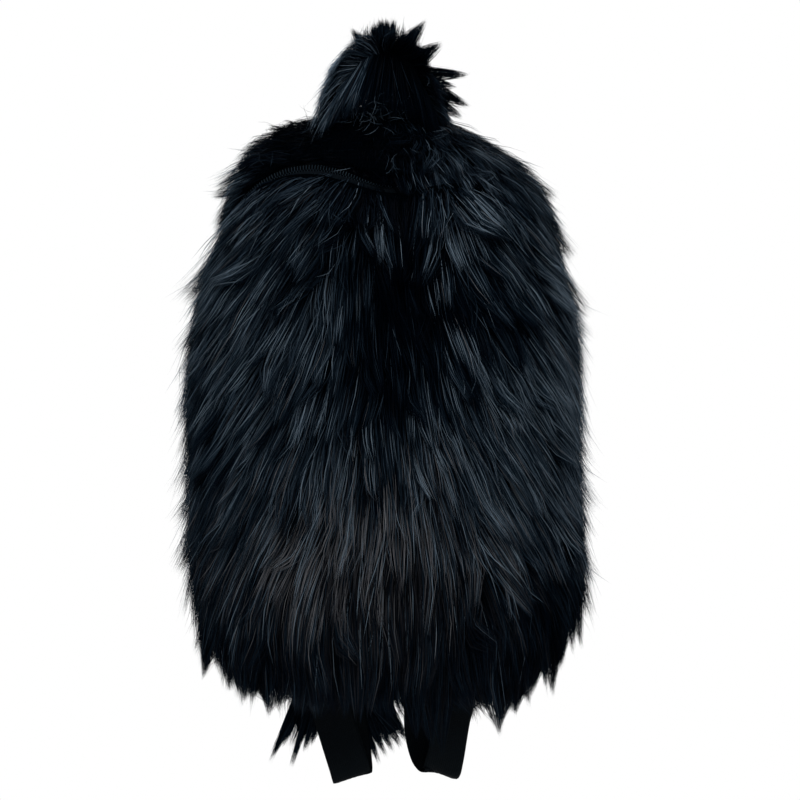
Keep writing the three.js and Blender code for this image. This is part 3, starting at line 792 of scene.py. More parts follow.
# fur of the front and sides
frontFur = {
    "seed": 11,
    # locks, wisps, threads and strands: how many, how unruly, how uneven in length, spread of tone
    # and how far each leans on the level before it, also at its root and at the hem
    "levels": [
        {
            "count": 700, "loose": 0.16, "uneven": 0.28, "tone": 0.12,
            "standOut": 1.6, "proud": 0.24, "rise": 0.011,
        },
        {
            "count": 4800, "loose": 0.11, "uneven": 0.20, "tone": 0.10, "pull": 0.68, "atRoot": 0.40,
            "hemPull": 0.84, "standOut": 1.6, "proud": 0.10, "rise": 0.008,
        },
        {
            "count": 26000, "loose": 0.08, "uneven": 0.20, "tone": 0.12, "pull": 0.68, "atRoot": 0.25,
            "hemPull": 0.80, "standOut": 1.4,
        },
        {
            "count": 110000, "loose": 0.06, "uneven": 0.22, "tone": 0.38, "pull": 0.68, "atRoot": 0.0,
            "hemPull": 0.76, "standOut": 1.2, "strays": 0.02,
        },
    ],
    "tone": 0.324,
    "swirl": 0.15,
    "swirlSizes": ((0.035, 5), (0.014, 6)),  # and the seed of each
    "smallSwirls": 0.6,
    "messy": 0.13,  # extra disorder just under the zip
    "messyReach": 0.030,
    "hug": 0.80,  # how closely the hair follows the body
    "hangFrom": (0.015, 0.050),  # it lets go of the body from this height above the hem, over the second
    "letGo": 0.85,
    "droop": 0.05,
    "underZip": 0.0014,
    "backingUnder": 0.0062,
    "backingGrid": (76, 50),
    "backingCrowding": 1.1,
    "lean": 0.75,  # the furthest that the pile leans outward
    "spread": 7.6,  # how the lean grows, per metre from the middle
    "spreadLow": 2.2,  # the same at the hem
    "lowFrom": (-0.340, 0.090),  # height where that change starts, and its reach
    "length": 0.050,
    "hemLength": 0.056,
    "hemFrom": (-0.395, 0.040),
    "lift": 0.150,
    "liftSpread": (0.5, 1.6),
    "lowLift": 0.72,  # share of the lift in the lower half
    "lowLiftFrom": (-0.20, 0.10),
    "zipLift": 1.1,  # extra lift under the zip, then how far down and how far to the sides
    "zipLiftDown": 0.020,
    "zipLiftBeside": 0.085,
    "outstanding": 0.80,  # the rest of the hair is lifted further, by its level's standOut
    "shadeAt": 0.6,  # how far along a wisp its shade is taken
    "warmAt": (-0.010, -0.350),
    "warmSize": (0.085, 0.060),
    "warmShare": (0.75, 0.03),  # share of warm strands there and anywhere
    "strayShade": (0.35, 0.45),  # how much paler strays are, always and by the shade of their place
    "widths": (0.7, 1.25),
    "partBlur": 0.02,  # the three parts of the coat run into each other
    # the hem's outline as x and z
    "hem": [
        (-0.150, -0.424), (-0.137, -0.444), (-0.1185, -0.463), (-0.105, -0.470), (-0.0825, -0.478),
        (-0.060, -0.486), (0.0, -0.490), (0.072, -0.486), (0.083, -0.499), (0.090, -0.480),
        (0.109, -0.470), (0.119, -0.462), (0.1275, -0.451), (0.136, -0.441), (0.148, -0.430),
    ],
    # the hem hangs in pointed locks: least and largest width and depth
    "hemLock": {
        "width": (0.007, 0.015), "depth": (0.004, 0.019), "narrow": 0.45, "reach": 0.022, "seed": 77,
        "longest": 0.55, "ragged": 0.003, "beyond": 0.01,
    },
    # longer locks below it: x and z of the tip and half the width that they gather from
    "hemTufts": [
        (-0.135, -0.461, 0.005), (-0.1155, -0.470, 0.005), (-0.104, -0.478, 0.005),
        (-0.0845, -0.486, 0.006), (0.0231, -0.503, 0.009), (0.0345, -0.509, 0.008),
        (0.0427, -0.514, 0.006), (0.0844, -0.502, 0.006), (0.096, -0.486, 0.005),
        (0.124, -0.473, 0.004), (0.1463, -0.440, 0.004),
    ],
    "tuftNear": 0.012,  # hair that ends this near the hem joins a tuft
    "tuftShare": 0.8,  # the lower, the more of it goes nearly down to the tip
    "tuftScatter": 0.0006,
    "tuftBend": 1.6,
    "hemShortest": 0.12,  # share of the length that the hair at the corners keeps
    "hemFull": (0.045, 0.040),  # full gathering up to here above the hem, and none after the second
    "hemShade": 0.130,  # height of the band of painted shade along the hem
    "hemDepth": 0.78,
    "hemBend": 1.5,
    # towards the sides the coat darkens: from how far out, over what width, then by how much
    "sideShade": (0.025, 0.060),
    "sideDepth": {"left": 0.26, "right": 0.19},
    "straysAbove": -0.400,
    "nearZip": (0.78, 0.012),  # how much of the painted root shade the hair just under the zip lacks
    "shadeSlip": (0.0075, 0.0, 0.020),  # how far a wisp's shade strays from its place
}
# painted shade in the coat, for its valley and hollows: x, z, half width, half height, depth of the shade
paintedShades = [
    (0.014, -0.112, 0.015, 0.048, 0.95),
    (-0.012, -0.108, 0.030, 0.018, 0.70),
    (-0.050, -0.140, 0.036, 0.058, 0.13),
    (-0.040, -0.190, 0.040, 0.040, 0.10),
    (-0.006, -0.172, 0.016, 0.016, 0.50),
    (-0.128, -0.285, 0.022, 0.040, 0.24),
    (-0.115, -0.345, 0.020, 0.022, 0.20),
    (0.055, -0.408, 0.085, 0.036, 0.44),
    (-0.005, -0.424, 0.055, 0.034, 0.27),
    (0.000, -0.335, 0.120, 0.050, 0.13),
    (0.052, -0.195, 0.020, 0.024, 0.35),
    (0.120, -0.405, 0.030, 0.030, 0.22),
    (0.088, -0.172, 0.014, 0.024, 0.45),
    (0.003, -0.165, 0.022, 0.026, 0.66),
    (0.038, -0.176, 0.024, 0.015, 0.84),
    (0.057, -0.202, 0.018, 0.015, 0.66),
    (0.014, -0.203, 0.024, 0.036, 0.78),
    (-0.006, -0.250, 0.022, 0.026, 0.80),
    (-0.003, -0.302, 0.012, 0.020, 0.50),
    (0.038, -0.235, 0.020, 0.016, 0.40),
    (0.078, -0.156, 0.014, 0.014, 0.45),
    (-0.129, -0.262, 0.016, 0.026, 0.34),
    (-0.077, -0.281, 0.014, 0.020, 0.34),
    (-0.033, -0.281, 0.010, 0.022, 0.40),
    (0.095, -0.214, 0.016, 0.010, 0.34),
    (-0.006, -0.185, 0.048, 0.100, 0.20),
]


def regionTone(points):
    f = frontFur
    x, z = points[:, 0], points[:, 2]
    tone = np.full(len(points), f["tone"])
    # painted shade from the table
    for cx, cz, wide, tall, depth in paintedShades:
        tone *= 1 - depth * np.exp(-(np.abs(x - cx) / wide) ** 3 - (np.abs(z - cz) / tall) ** 3)
    # painted shade in a band along the hem
    above = fade(z, hemLimit(x), f["hemShade"])
    tone *= 1 - f["hemDepth"] * (1 - above) ** f["hemBend"]
    depth = np.where(x < 0, f["sideDepth"]["left"], f["sideDepth"]["right"])
    return tone * (1 - fade(np.abs(x), *f["sideShade"]) * depth)


def warmth(points):
    (cx, cz), (wide, tall) = frontFur["warmAt"], frontFur["warmSize"]
    return np.exp(-((points[:, 0] - cx) / wide) ** 2 - ((points[:, 2] - cz) / tall) ** 2)


def hemLimit(x):
    places, heights = np.array(frontFur["hem"]).T
    return np.interp(x, places, heights)


def hemLocks():
    # middle, half width and depth of each lock along the hem
    f = frontFur["hemLock"]
    random = np.random.default_rng(f["seed"])
    rows = []
    x = frontFur["hem"][0][0] - f["beyond"]
    while x < frontFur["hem"][-1][0] + f["beyond"]:
        wide = random.uniform(*f["width"])
        rows.append((x + wide / 2, wide / 2, random.uniform(*f["depth"])))
        x += wide
    return np.array(rows)


def hemmed(root, flow, length):
    # strands of the lowest rows end along the curved hem
    tip = root + flow * length[:, None]
    share = (root[:, 2] - hemLimit(tip[:, 0])) / np.maximum(root[:, 2] - tip[:, 2], 1e-4)
    return length * np.clip(share, frontFur["hemShortest"], 1)


def hemPointed(lines, random):
    # hair at the hem draws together into locks, each longest in its middle
    f = frontFur["hemLock"]
    locks = hemLocks()
    ends = lines[:, 3, 0]
    index = np.clip(np.searchsorted(locks[:, 0] + locks[:, 1], ends), 0, len(locks) - 1)
    middle, half, depth = locks[index].T
    apart = np.clip(np.abs(ends - middle) / half, 0, 1)
    ragged = f["ragged"] * random.normal(0, 1, len(lines))
    limit = hemLimit(ends) + depth * (apart - f["longest"]) + ragged
    fall = np.maximum(lines[:, 0, 2] - lines[:, 3, 2], 1e-4)
    share = (lines[:, 0, 2] - limit) / fall
    lines = trimmed(lines, np.clip(share, frontFur["hemShortest"], 1))
    near = np.clip(1 - (lines[..., 2] - limit[:, None]) / f["reach"], 0, 1)
    lines[..., 0] += (middle[:, None] - lines[..., 0]) * near * f["narrow"]
    return lines


def hemTufted(lines):
    # hair that ends near a tuft's place is drawn down to its tip, some of it only part of the way
    f = frontFur
    random = np.random.default_rng(f["hemLock"]["seed"])
    bend = np.array(hair["steps"]) ** f["tuftBend"]
    for x, z, half in f["hemTufts"]:
        tip = lines[:, 3]
        low = tip[:, 2] < hemLimit(tip[:, 0]) + f["tuftNear"]
        chosen = low & (np.abs(tip[:, 0] - x) < half)
        aim = tip[chosen].copy()
        share = random.uniform(0, 1, len(aim)) ** f["tuftShare"]
        aim[:, 0] += (x - aim[:, 0]) * share + random.normal(0, f["tuftScatter"], len(aim))
        aim[:, 2] += (z - aim[:, 2]) * share
        lines[chosen] += (aim - tip[chosen])[:, None] * bend[None, :, None]
    return lines


def frontHair(count, seed, level):
    f = frontFur
    draw = np.random.default_rng(seed)
    turn, z = scatter(draw, count, lambda turn, z: z < zipHeight(turn) - f["underZip"])
    z = np.minimum(z, zipHeight(turn) - f["underZip"])
    root, normal = onBody(turn, z), bodyNormal(turn, z)
    spread = f["spread"] + (f["spreadLow"] - f["spread"]) * fade(-z, -f["lowFrom"][0], f["lowFrom"][1])
    flow = combed(root, normal, spread, draw, level["loose"])
    messy = f["messy"] * bell(z, zipHeight(turn), f["messyReach"])
    flow = unit(flow + draw.normal(0, 1, (count, 3)) * messy[:, None])
    nearHem = fade(-z, -f["hemFrom"][0], f["hemFrom"][1])
    length = f["length"] + (f["hemLength"] - f["length"]) * nearHem
    length = length * draw.uniform(1 - level["uneven"], 1 + level["uneven"], count)
    lift = f["lift"] * draw.uniform(*f["liftSpread"], count)
    lift *= np.where(draw.uniform(0, 1, count) > f["outstanding"], level["standOut"], 1.0)
    lift *= 1 - (1 - f["lowLift"]) * fade(-z, -f["lowLiftFrom"][0], f["lowLiftFrom"][1])
    under = bell(z, zipHeight(turn) - f["underZip"], f["zipLiftDown"])
    lift *= 1 + f["zipLift"] * under * np.exp(-(root[:, 0] / f["zipLiftBeside"]) ** 4)
    length = hemmed(root, flow, length)
    tip = root + flow * length[:, None]
    above, reach = f["hangFrom"]
    hanging = np.clip(1 - (tip[:, 2] - hemLimit(tip[:, 0]) - above) / reach, 0, 1)
    lines = overBody(turn, z, flow, length, lift, f["hug"] * (1 - f["letGo"] * hanging), f["droop"])
    slip = draw.normal(0, 1, (count, 3)) * np.array(f["shadeSlip"])
    base = regionTone(root + (lines[:, 3] - root) * f["shadeAt"] + slip)
    return {"root": root, "normal": normal, "lines": lines, "turn": turn, "base": base}


def atHem(grown):
    root = grown["root"]
    full, reach = frontFur["hemFull"]
    return np.clip(1 - (root[:, 2] - hemLimit(root[:, 0]) - full) / reach, 0, 1)


def makeFrontFur():
    f = frontFur
    random = np.random.default_rng(f["seed"])
    grown = clumped(frontHair, f["levels"], f["seed"], atHem)
    root, normal, turn, base = [grown[key] for key in ("root", "normal", "turn", "base")]
    lines = hemTufted(hemPointed(grown["lines"], random))
    count = len(root)
    scale = base / f["tone"]
    warmThere, warmAnywhere = f["warmShare"]
    tone = toneOf(base + grown["tone"] * scale, warmth(root) * warmThere + warmAnywhere, random)
    always, byPlace = f["strayShade"]
    paler = np.clip(tone + hair["strayTone"] * (always + byPlace * scale), 0, hair["coolTop"])
    tone = np.where(grown["free"] & (root[:, 2] > f["straysAbove"]), paler, tone)
    width = hair["width"] * random.uniform(*f["widths"], count)

    share, reach = f["nearZip"]
    roots = share * bell(root[:, 2], zipHeight(turn), reach)
    third = turn * 3 + random.normal(0, f["partBlur"], count)
    for k, label in enumerate(("right", "middle", "left")):
        part = np.clip(third.astype(int), 0, 2) == k
        strands = [column[part] for column in (lines, normal, width, tone)]
        obj = strandMesh("fur_front_" + label, *strands, random, roots[part])
        finishPiece(obj, paints["hair"], "fur", "front_fur")

    columns, rows = f["backingGrid"]
    turns = np.linspace(0, 1, columns)
    topZ = zipHeight(turns) - f["backingUnder"]
    drops = np.linspace(0, 1, rows) ** f["backingCrowding"]
    heights = [topZ + (body["base"] - topZ) * drop for drop in drops]
    makeBacking("fur_front_backing", "front_fur", turns, heights, -1)


# matted backing under the hair
backing = {
    "inner": 0.0005,
    "outer": 0.0038,
    "lumps": 0.0011,
    "lumpSize": 0.006,
    "lumpSeed": 9,
    "capSteps": (0.04, 0.2, 0.5, 0.8, 1.0),  # the rings that close its top or base
}


def thickSheet(name, outer, inner, uv=None):
    rows, columns = outer.shape[:2]
    points = np.concatenate([outer.reshape(-1, 3), inner.reshape(-1, 3)])
    size = rows * columns
    faces = gridFaces(rows, columns)
    faces += [tuple(reversed([i + size for i in face])) for face in faces]
    grid = np.arange(size).reshape(rows, columns)
    rim = [*grid[0], *grid[1:, -1], *grid[-1, -2::-1], *grid[-2:0:-1, 0]]
    for k, a in enumerate(rim):
        b = rim[(k + 1) % len(rim)]
        faces.append((b, a, a + size, b + size))
    return addMesh(name, points, faces, uv)


def makeBacking(name, replaced, turns, heights, side):
    # side is -1 where the base is closed too, and 1 where the top is
    b = backing
    outer, inner = [], []
    for z in heights:
        point, normal = onBody(turns, z), bodyNormal(turns, z)
        lump = 1 + 0.5 * smoothNoise(point, b["lumpSize"], b["lumpSeed"])
        outer.append(point + normal * (b["outer"] + b["lumps"] * lump)[:, None])
        inner.append(point + normal * b["inner"])
    end = -1 if side < 0 else 0
    capOut, capIn = [], []
    for edge, cap, gap in ((outer[end], capOut, b["outer"]), (inner[end], capIn, b["inner"])):
        for k in b["capSteps"]:
            ring = edge.copy()
            ring[:, 1] += (body["axisY"] - ring[:, 1]) * k
            ring[:, 2] = edge[:, 2].mean() + side * gap
            cap.append(ring)
    if side < 0:
        outer, inner = outer + capOut, inner + capIn
    else:
        outer, inner = capOut[::-1] + outer, capIn[::-1] + inner
    obj = thickSheet(name, np.stack(outer), np.stack(inner))
    finishPiece(obj, paints["backing"], "fur", replaced)


# fur above the zip
topFur = {
    "seed": 23,
    # count, looseness, unevenness, spread of tone, lean on the level before at tip and root, strays
    "levels": furLevels(
        (170, 0.38, 0.42, 0.10),
        (900, 0.18, 0.24, 0.10, 0.74, 0.30),
        (4600, 0.12, 0.20, 0.13, 0.65, 0.25),
        (17000, 0.10, 0.25, 0.17, 0.80, 0.0, 0.03),
        proud=0.25, rise=0.007,
    ),
    "overZip": 0.0066,
    "length": {"left": 0.024, "right": 0.040},
    "clear": 0.0030,  # left of the middle the strands end this far above the zip
    "clearSpread": (0.4, 1.3),
    "shortAt": (-0.020, 0.055, 0.60),  # x, half width and share of the length kept there
    "coveredFrom": (-0.009, 0.003),  # right of this the strands hang over the zip
    "barest": 0.25,  # share of the length that a strand over the zip keeps
    "shoulderBare": 0.4,  # how much less the left shoulder is kept off the zip
    # the two shoulders: where they begin and how softly
    "rightFrom": (0.012, 0.010),
    "leftFrom": (-0.044, -0.008),
    # the way that the hair falls: outward per metre, forward, and upward, then the change at the shoulders
    "outward": (13, 6),
    "forward": -0.30,
    "upward": {"middle": -0.55, "right": -0.35, "left": 0.75},
    "swirl": (0.2, 0.02, 31),  # strength, size and seed
    "lift": 0.34,
    "liftSpread": (0.4, 1.5),
    "rightLift": 0.35,  # how much less the right side is lifted
    "lowLift": (0.5, 0.016),  # how much less the hair near the zip is lifted, and how far up
    "shoulder": (-0.046, 0.026),  # height and reach of the left shoulder, where the hair stands out
    "shoulderLift": 0.30,
    "hug": 0.7,
    "droop": 0.12,
    "shadeSlip": 0.005,
    # tones: the trough, darkened as painted shade, the two shoulders, and what the right one loses beside
    # the middle and halfway out
    "troughShadeTone": 0.02,
    "rightTone": 0.38,
    "leftTone": 0.29,
    "rightPale": (0.022, 0.008),
    "leftPale": (-0.078, -0.008),
    "outerFade": (0.05, 0.006, 0.05),
    "dimSpot": (0.08, 0.062, 0.026),
    "backingGrid": (70, 26),
    # loose pale curls: x, z, how far they scatter and how many
    "curls": [
        (-0.016, -0.037, 0.009, 54),
        (0.006, -0.040, 0.007, 34),
        (-0.002, -0.052, 0.006, 20),
        (-0.052, -0.056, 0.006, 12),
        (-0.080, -0.076, 0.006, 12),
        (0.014, -0.080, 0.010, 14),
        (-0.036, -0.044, 0.009, 16),
    ],
    "curlLength": 0.011,
    "curlLengths": (0.6, 1.3),
    "curlWidth": 0.00038,
    "curlBow": (0.05, 0.38),  # turn from one step to the next
    "curlHeight": (0.006, 0.016),
    "curlTone": (0.50, 0.74),
    "curlForward": -0.3,
    "curlsUnder": 0.002,  # none stands nearer to the top than this
}


def makeCurls(random):
    f = topFur
    rows = f["curls"]
    x, z, spread = [np.concatenate([np.full(row[3], row[k]) for row in rows]) for k in range(3)]
    count = len(x)
    x = x + spread * random.normal(0, 1, count)
    z = np.minimum(z + spread * random.normal(0, 1, count), body["top"] - f["curlsUnder"])
    place = np.stack([x, np.full(count, body["axisY"] - 0.02), z], -1)
    for _ in range(5):
        # the turn where the surface has the wanted x
        turn = turnOf(np.stack([x, place[:, 1], z], -1))
        place = onBody(turn, z)
    normal = bodyNormal(turn, z)
    heading = random.uniform(0, 2 * math.pi, count)
    bow = random.uniform(*f["curlBow"], count) * random.choice([-1, 1], count)
    step = f["curlLength"] * random.uniform(*f["curlLengths"], count) / 3
    line = place + normal * random.uniform(*f["curlHeight"], count)[:, None]
    lines = [line]
    for _ in range(3):
        across = np.stack([np.cos(heading), np.full(count, f["curlForward"]), np.sin(heading)], -1)
        line = line + across * step[:, None]
        lines.append(line)
        heading = heading + bow
    width = np.full(count, f["curlWidth"])
    return np.stack(lines, 1), normal, width, random.uniform(*f["curlTone"], count)


def topHair(count, seed, level):
    f = topFur
    draw = np.random.default_rng(seed)
    turn, z = scatter(draw, count, lambda turn, z: z > zipHeight(turn) + f["overZip"])
    root, normal = onBody(turn, z), bodyNormal(turn, z)
    x = root[:, 0]
    right, left = rising(x, *f["rightFrom"]), rising(x, *f["leftFrom"])
    outward = x * (f["outward"][0] + f["outward"][1] * left)
    upward = f["upward"]["middle"] + f["upward"]["right"] * right + f["upward"]["left"] * left
    fan = np.stack([outward, np.full(count, f["forward"]), upward], -1)
    fan += draw.normal(0, level["loose"], fan.shape)
    swirl, size, number = f["swirl"]
    fan[:, 0] += swirl * smoothNoise(root, size, number)
    fan -= normal * (fan * normal).sum(-1, keepdims=True)
    middle, wide, kept = f["shortAt"]
    length = f["length"]["left"] + (f["length"]["right"] - f["length"]["left"]) * right
    length = length * (1 - (1 - kept) * bell(x, middle, wide))
    length = length * draw.uniform(1 - level["uneven"], 1 + level["uneven"], count)
    tip = root + unit(fan) * length[:, None]
    limit = zipHeight(np.clip(turnOf(tip), 0, 1)) + f["clear"] * draw.uniform(*f["clearSpread"], count)
    share = (z - limit) / np.maximum(z - tip[:, 2], 1e-4)
    baring = (1 - rising(x, *f["coveredFrom"])) * (1 - f["shoulderBare"] * left)
    length *= np.clip(share, f["barest"], 1) * baring + 1 - baring
    shoulder = left * bell(z, *f["shoulder"])
    lift = f["lift"] * (1 - f["rightLift"] * right) + f["shoulderLift"] * shoulder
    less, reach = f["lowLift"]
    lift = lift * draw.uniform(*f["liftSpread"], count)
    lift *= 1 - less * bell(z, zipHeight(turn) + f["overZip"], reach)
    lines = overBody(turn, z, unit(fan), length, lift, f["hug"] * (1 - shoulder), f["droop"])
    base = topTone(root + draw.normal(0, f["shadeSlip"], root.shape))
    return {"root": root, "normal": normal, "lines": lines, "base": base}


def makeTopFur():
    f = topFur
    grown = clumped(topHair, f["levels"], f["seed"])
    random = np.random.default_rng(f["seed"])
    tone, width = dressed(grown, random)
    layers = [(grown["lines"], grown["normal"], width, tone), makeCurls(random)]
    lines, facing, width, tone = [np.concatenate(column) for column in zip(*layers)]
    obj = strandMesh("fur_top", lines, facing, width, tone, random)
    finishPiece(obj, paints["hair"], "fur", "top_fur")

    columns, rows = f["backingGrid"]
    turns = np.linspace(0, 1, columns)
    lowZ = zipHeight(turns) + f["overZip"]
    heights = [body["top"] + (lowZ - body["top"]) * drop for drop in np.linspace(0, 1, rows)]
    makeBacking("fur_top_backing", "top_fur", turns, heights, 1)


def topTone(points):
    # painted shade: black trough above the zip, left of the middle; paler shoulders
    f = topFur
    x = points[:, 0]
    depth, start, reach = f["outerFade"]
    right = f["rightTone"] - depth * fade(x, start, reach)
    depth, place, reach = f["dimSpot"]
    right = right - depth * bell(x, place, reach)
    return f["troughShadeTone"] + right * rising(x, *f["rightPale"]) + f["leftTone"] * rising(x, *f["leftPale"])


# grab handle and its fur
handle = {
    "centre": (0.0, 0.002, -0.020),
    "inside": 0.020,
    "thick": 0.004,
    "half": 0.009,
    "foot": -0.0393,
    "bandSamples": 60,
    "bandReach": 1.28,  # the whole band's share of its half round
    "bandRibs": 5,
    "seed": 41,
    "pile": 0.004,
    # count, looseness, unevenness, spread of tone, lean on the level before at tip and root, strays
    "coat": furLevels(
        (100, 0.22, 0.30, 0.06),
        (560, 0.16, 0.20, 0.08, 0.80, 0.25),
        (2800, 0.12, 0.20, 0.12, 0.75, 0.25),
        (9500, 0.09, 0.25, 0.17, 0.80, 0.0, 0.02),
    ),
    # hair that hangs down across the loop, in front and behind
    "curtain": furLevels(
        (60, 0.14, 0.25, 0.05),
        (400, 0.12, 0.25, 0.08, 0.45, 0.25),
        (1600, 0.10, 0.25, 0.12, 0.60, 0.25),
        (5000, 0.08, 0.30, 0.17, 0.80, 0.0, 0.03),
    ),
    # where on the loop in degrees from its right side, then the tip's x, z and y and the tuft's width
    "tufts": [
        (113, -0.0255, 0.0245, -0.006, 0.005),
        (103, -0.0085, 0.0285, -0.004, 0.003),
        (96, -0.0030, 0.0320, -0.004, 0.003),
        (89, 0.0015, 0.0325, -0.002, 0.003),
        (83, 0.0065, 0.0325, 0.002, 0.003),
        (70, 0.0310, 0.0310, -0.004, 0.006),
        (62, 0.0215, 0.0255, 0.004, 0.004),
        (48, 0.0430, 0.0135, -0.008, 0.006),
        (38, 0.0335, 0.0090, -0.010, 0.004),
        (26, 0.0630, -0.0105, -0.006, 0.005),
        (18, 0.0535, -0.0205, -0.012, 0.005),
        (8, 0.0640, -0.0340, -0.004, 0.006),
        (14, 0.0480, -0.0270, -0.014, 0.005),
        (0, 0.0590, -0.0430, -0.006, 0.006),
    ],
    # height, then the furthest that the coat reaches to the left and to the right of the middle
    "outline": [
        (-0.045, 0.057, 0.050),
        (-0.0315, 0.0510, 0.044),
        (-0.0165, 0.0440, 0.0385),
        (-0.0015, 0.0365, 0.031),
        (0.0135, 0.0255, 0.022),
        (0.0200, 0.0170, 0.016),
        (0.0300, 0.0110, 0.012),
    ],
    "outlineFrom": 0.62,  # share of that reach from which the hair bends along it
    "tuftStrands": 170,
    "tuftBulge": 0.004,
    "tuftTones": (0.22, 0.14),  # the least, and how much more by chance
    "paleEdge": -0.004,  # where the pale hair of the left side ends, at this height
    "paleHeight": 0.015,
    "paleSlope": 0.36,  # how that border leans, per metre down
    "paleBlur": -0.0065,
    "darkTone": 0.07,
    # painted highlight: pale on the left, more on the coat, whose hair faces away from the lamps, than on
    # the curtain
    "paleHighlightTone": {"coat": 0.41, "curtain": 0.29},  # added on the left
    "greyTone": 0.18,  # added at the far right of the coat
    "greyFrom": (0.024, 0.020),
    "paleRoots": (0.85, 0.015),  # how much of the painted root shade the hair of the left side lacks
    "shadeSlip": 0.004,
    "rootBeside": 0.003,  # the hair's roots stand this far past the band's edges
    "lift": 0.06,
    "sag": 0.15,
    # the coat: length at the crown, then how much more at the feet and less on the right and at the top
    "length": 0.041,
    "footLength": 0.006,
    "rightShorter": 0.014,
    "crownShorter": 0.42,
    "crownSharpness": 24,
    "rightFrom": (0.1, 0.06),  # across the loop, as a share of its radius
    "archSag": 0.55,
    "straightCrown": 0.9,
    # the curtain
    "curtainReach": 0.66,  # share of the loop that it hangs from
    "curtainLean": (0.46, -0.12, 0.42),  # outward by place, sideways, and away from the band
    "curtainLength": 0.046,
    "curtainPile": 0.6,
    "core": {"rings": 40, "sides": 14, "above": 0.0035, "thick": 0.003, "past": 0.0015, "uneven": 0.12},
}


def aroundHandle(a):
    # a runs from the right foot over the top to the left foot
    near = handle["inside"] + handle["thick"]
    leg = handle["centre"][2] - handle["foot"] - 0.003
    arc = math.pi * near
    d = a * (arc + 2 * leg)
    angle = np.clip((d - leg) / near, 0, math.pi)
    drop = np.minimum(d - leg, 0) + np.minimum(leg + arc - d, 0)
    out = np.stack([np.cos(angle), np.zeros_like(a), np.sin(angle)], -1)
    return out, drop


def heldIn(lines):
    # hair that would reach past the outline bends along it
    z, left, right = np.array(handle["outline"]).T
    x, start = lines[..., 0], handle["outlineFrom"]
    limit = np.where(x < 0, np.interp(lines[..., 2], z, left), np.interp(lines[..., 2], z, right))
    share = np.abs(x) / limit
    held = np.where(share > start, start + (1 - start) * np.tanh((share - start) / (1 - start)), share)
    lines[..., 0] = np.sign(x) * held * limit
    return lines


def curtainFlow(out, across):
    byPlace, aside, away = handle["curtainLean"]
    flow = np.stack([out[:, 0] * byPlace + aside, across * away, np.full(len(out), -1.0)], -1)
    return flow, np.full(len(out), handle["curtainLength"]), np.full(len(out), handle["sag"])


def coatFlow(out, off, across, draw):
    # at the crown tufts stand up; on the right they stick out, on the left they arch over and fall
    h = handle
    right = rising(out[:, 0], *h["rightFrom"])
    high = np.clip(out[:, 2], 0, 1)
    low = 1 - high
    crown = high ** h["crownSharpness"]
    side = np.where(out[:, 0] > h["rightFrom"][0], 1.0, -1.0)
    reach = 0.35 + 0.55 * high + 0.35 * right * low
    rise = 0.45 * high - (0.75 - 0.40 * right) * low
    flow = np.stack([side * reach, across * 0.25, rise], -1)
    stand = off * 0.9 + draw.normal(0, 0.25, out.shape) * np.array([1, 0.5, 0.2])
    flow = flow * (1 - crown)[:, None] + stand * crown[:, None]
    length = h["length"] + h["footLength"] * low - h["rightShorter"] * right
    length = length * (1 - h["crownShorter"] * crown)
    sag = (h["sag"] + h["archSag"] * high * (1 - right)) * (1 - h["straightCrown"] * crown)
    return flow, length, sag


def handleHair(curtain, count, seed, level):
    h = handle
    draw = np.random.default_rng(seed)
    a = draw.uniform(0, 1, count)
    across = draw.uniform(-1, 1, count)
    if curtain:
        a = 0.5 + (a - 0.5) * h["curtainReach"]
        across = np.sign(across)
    out, drop = aroundHandle(a)
    height = h["pile"] * draw.uniform(0, 1, count) * (h["curtainPile"] if curtain else 1)
    root = np.array(h["centre"]) + out * (h["inside"] + h["thick"] + height)[:, None]
    root[:, 1] += across * (h["half"] + h["rootBeside"])
    root[:, 2] += drop
    off = unit(out + np.stack([np.zeros(count), across * 0.9, np.zeros(count)], -1))
    flow, length, sag = curtainFlow(out, across) if curtain else coatFlow(out, off, across, draw)
    flow = unit(flow + draw.normal(0, level["loose"], (count, 3)))
    length = length * draw.uniform(1 - level["uneven"], 1 + level["uneven"], count)
    facing = unit(off + np.array([0, -0.3, 0.05]))
    lines = heldIn(freeHair(root, flow, length, off, h["lift"], sag))
    base = handleTone(lines[:, 2] + draw.normal(0, h["shadeSlip"], root.shape), curtain)
    return {"root": root, "normal": facing, "lines": lines, "base": base}


tuft = {
    "tipScatter": 0.0011,
    "lengths": (0.76, 1.0),
    "uneven": 0.15,
    "warm": 0.02,
    "widths": (0.65, 1.1),
}


def pointedTuft(root, tip, bulge, facing, tone, random):
    # strands from scattered roots to one tip, some of them shorter
    count = len(root)
    tip = tip + random.normal(0, tuft["tipScatter"], (count, 3))
    length = random.uniform(*tuft["lengths"], count)[:, None]
    middle = (root + tip) / 2 + bulge
    rows = []
    for s in hair["steps"]:
        k = s * length
        rows.append(root * (1 - k) ** 2 + middle * 2 * k * (1 - k) + tip * k ** 2)
    tone = toneOf(tone + random.normal(0, tuft["uneven"], count), np.full(count, tuft["warm"]), random)
    width = hair["width"] * random.uniform(*tuft["widths"], count)
    return np.stack(rows, 1), facing, width, tone


def handleTufts(random):
    # pointed tufts at the crown and down the right side
    h = handle
    least, more = h["tuftTones"]
    layers = []
    for angle, tipX, tipZ, tipY, width in h["tufts"]:
        count = h["tuftStrands"]
        turn = math.radians(angle) + random.normal(0, width / 0.028, count)
        out = np.stack([np.cos(turn), np.zeros(count), np.sin(turn)], -1)
        root = np.array(h["centre"]) + out * (h["inside"] + h["thick"] + 0.001)
        root[:, 1] += random.uniform(-1, 1, count) * h["half"]
        facing = unit(out - np.array([0, 0.6, 0]))
        tone = least + more * random.uniform(0, 1)
        tip = np.array([tipX, tipY, tipZ])
        layers.append(pointedTuft(root, tip, out * h["tuftBulge"], facing, tone, random))
    return tuple(np.concatenate(column) for column in zip(*layers))


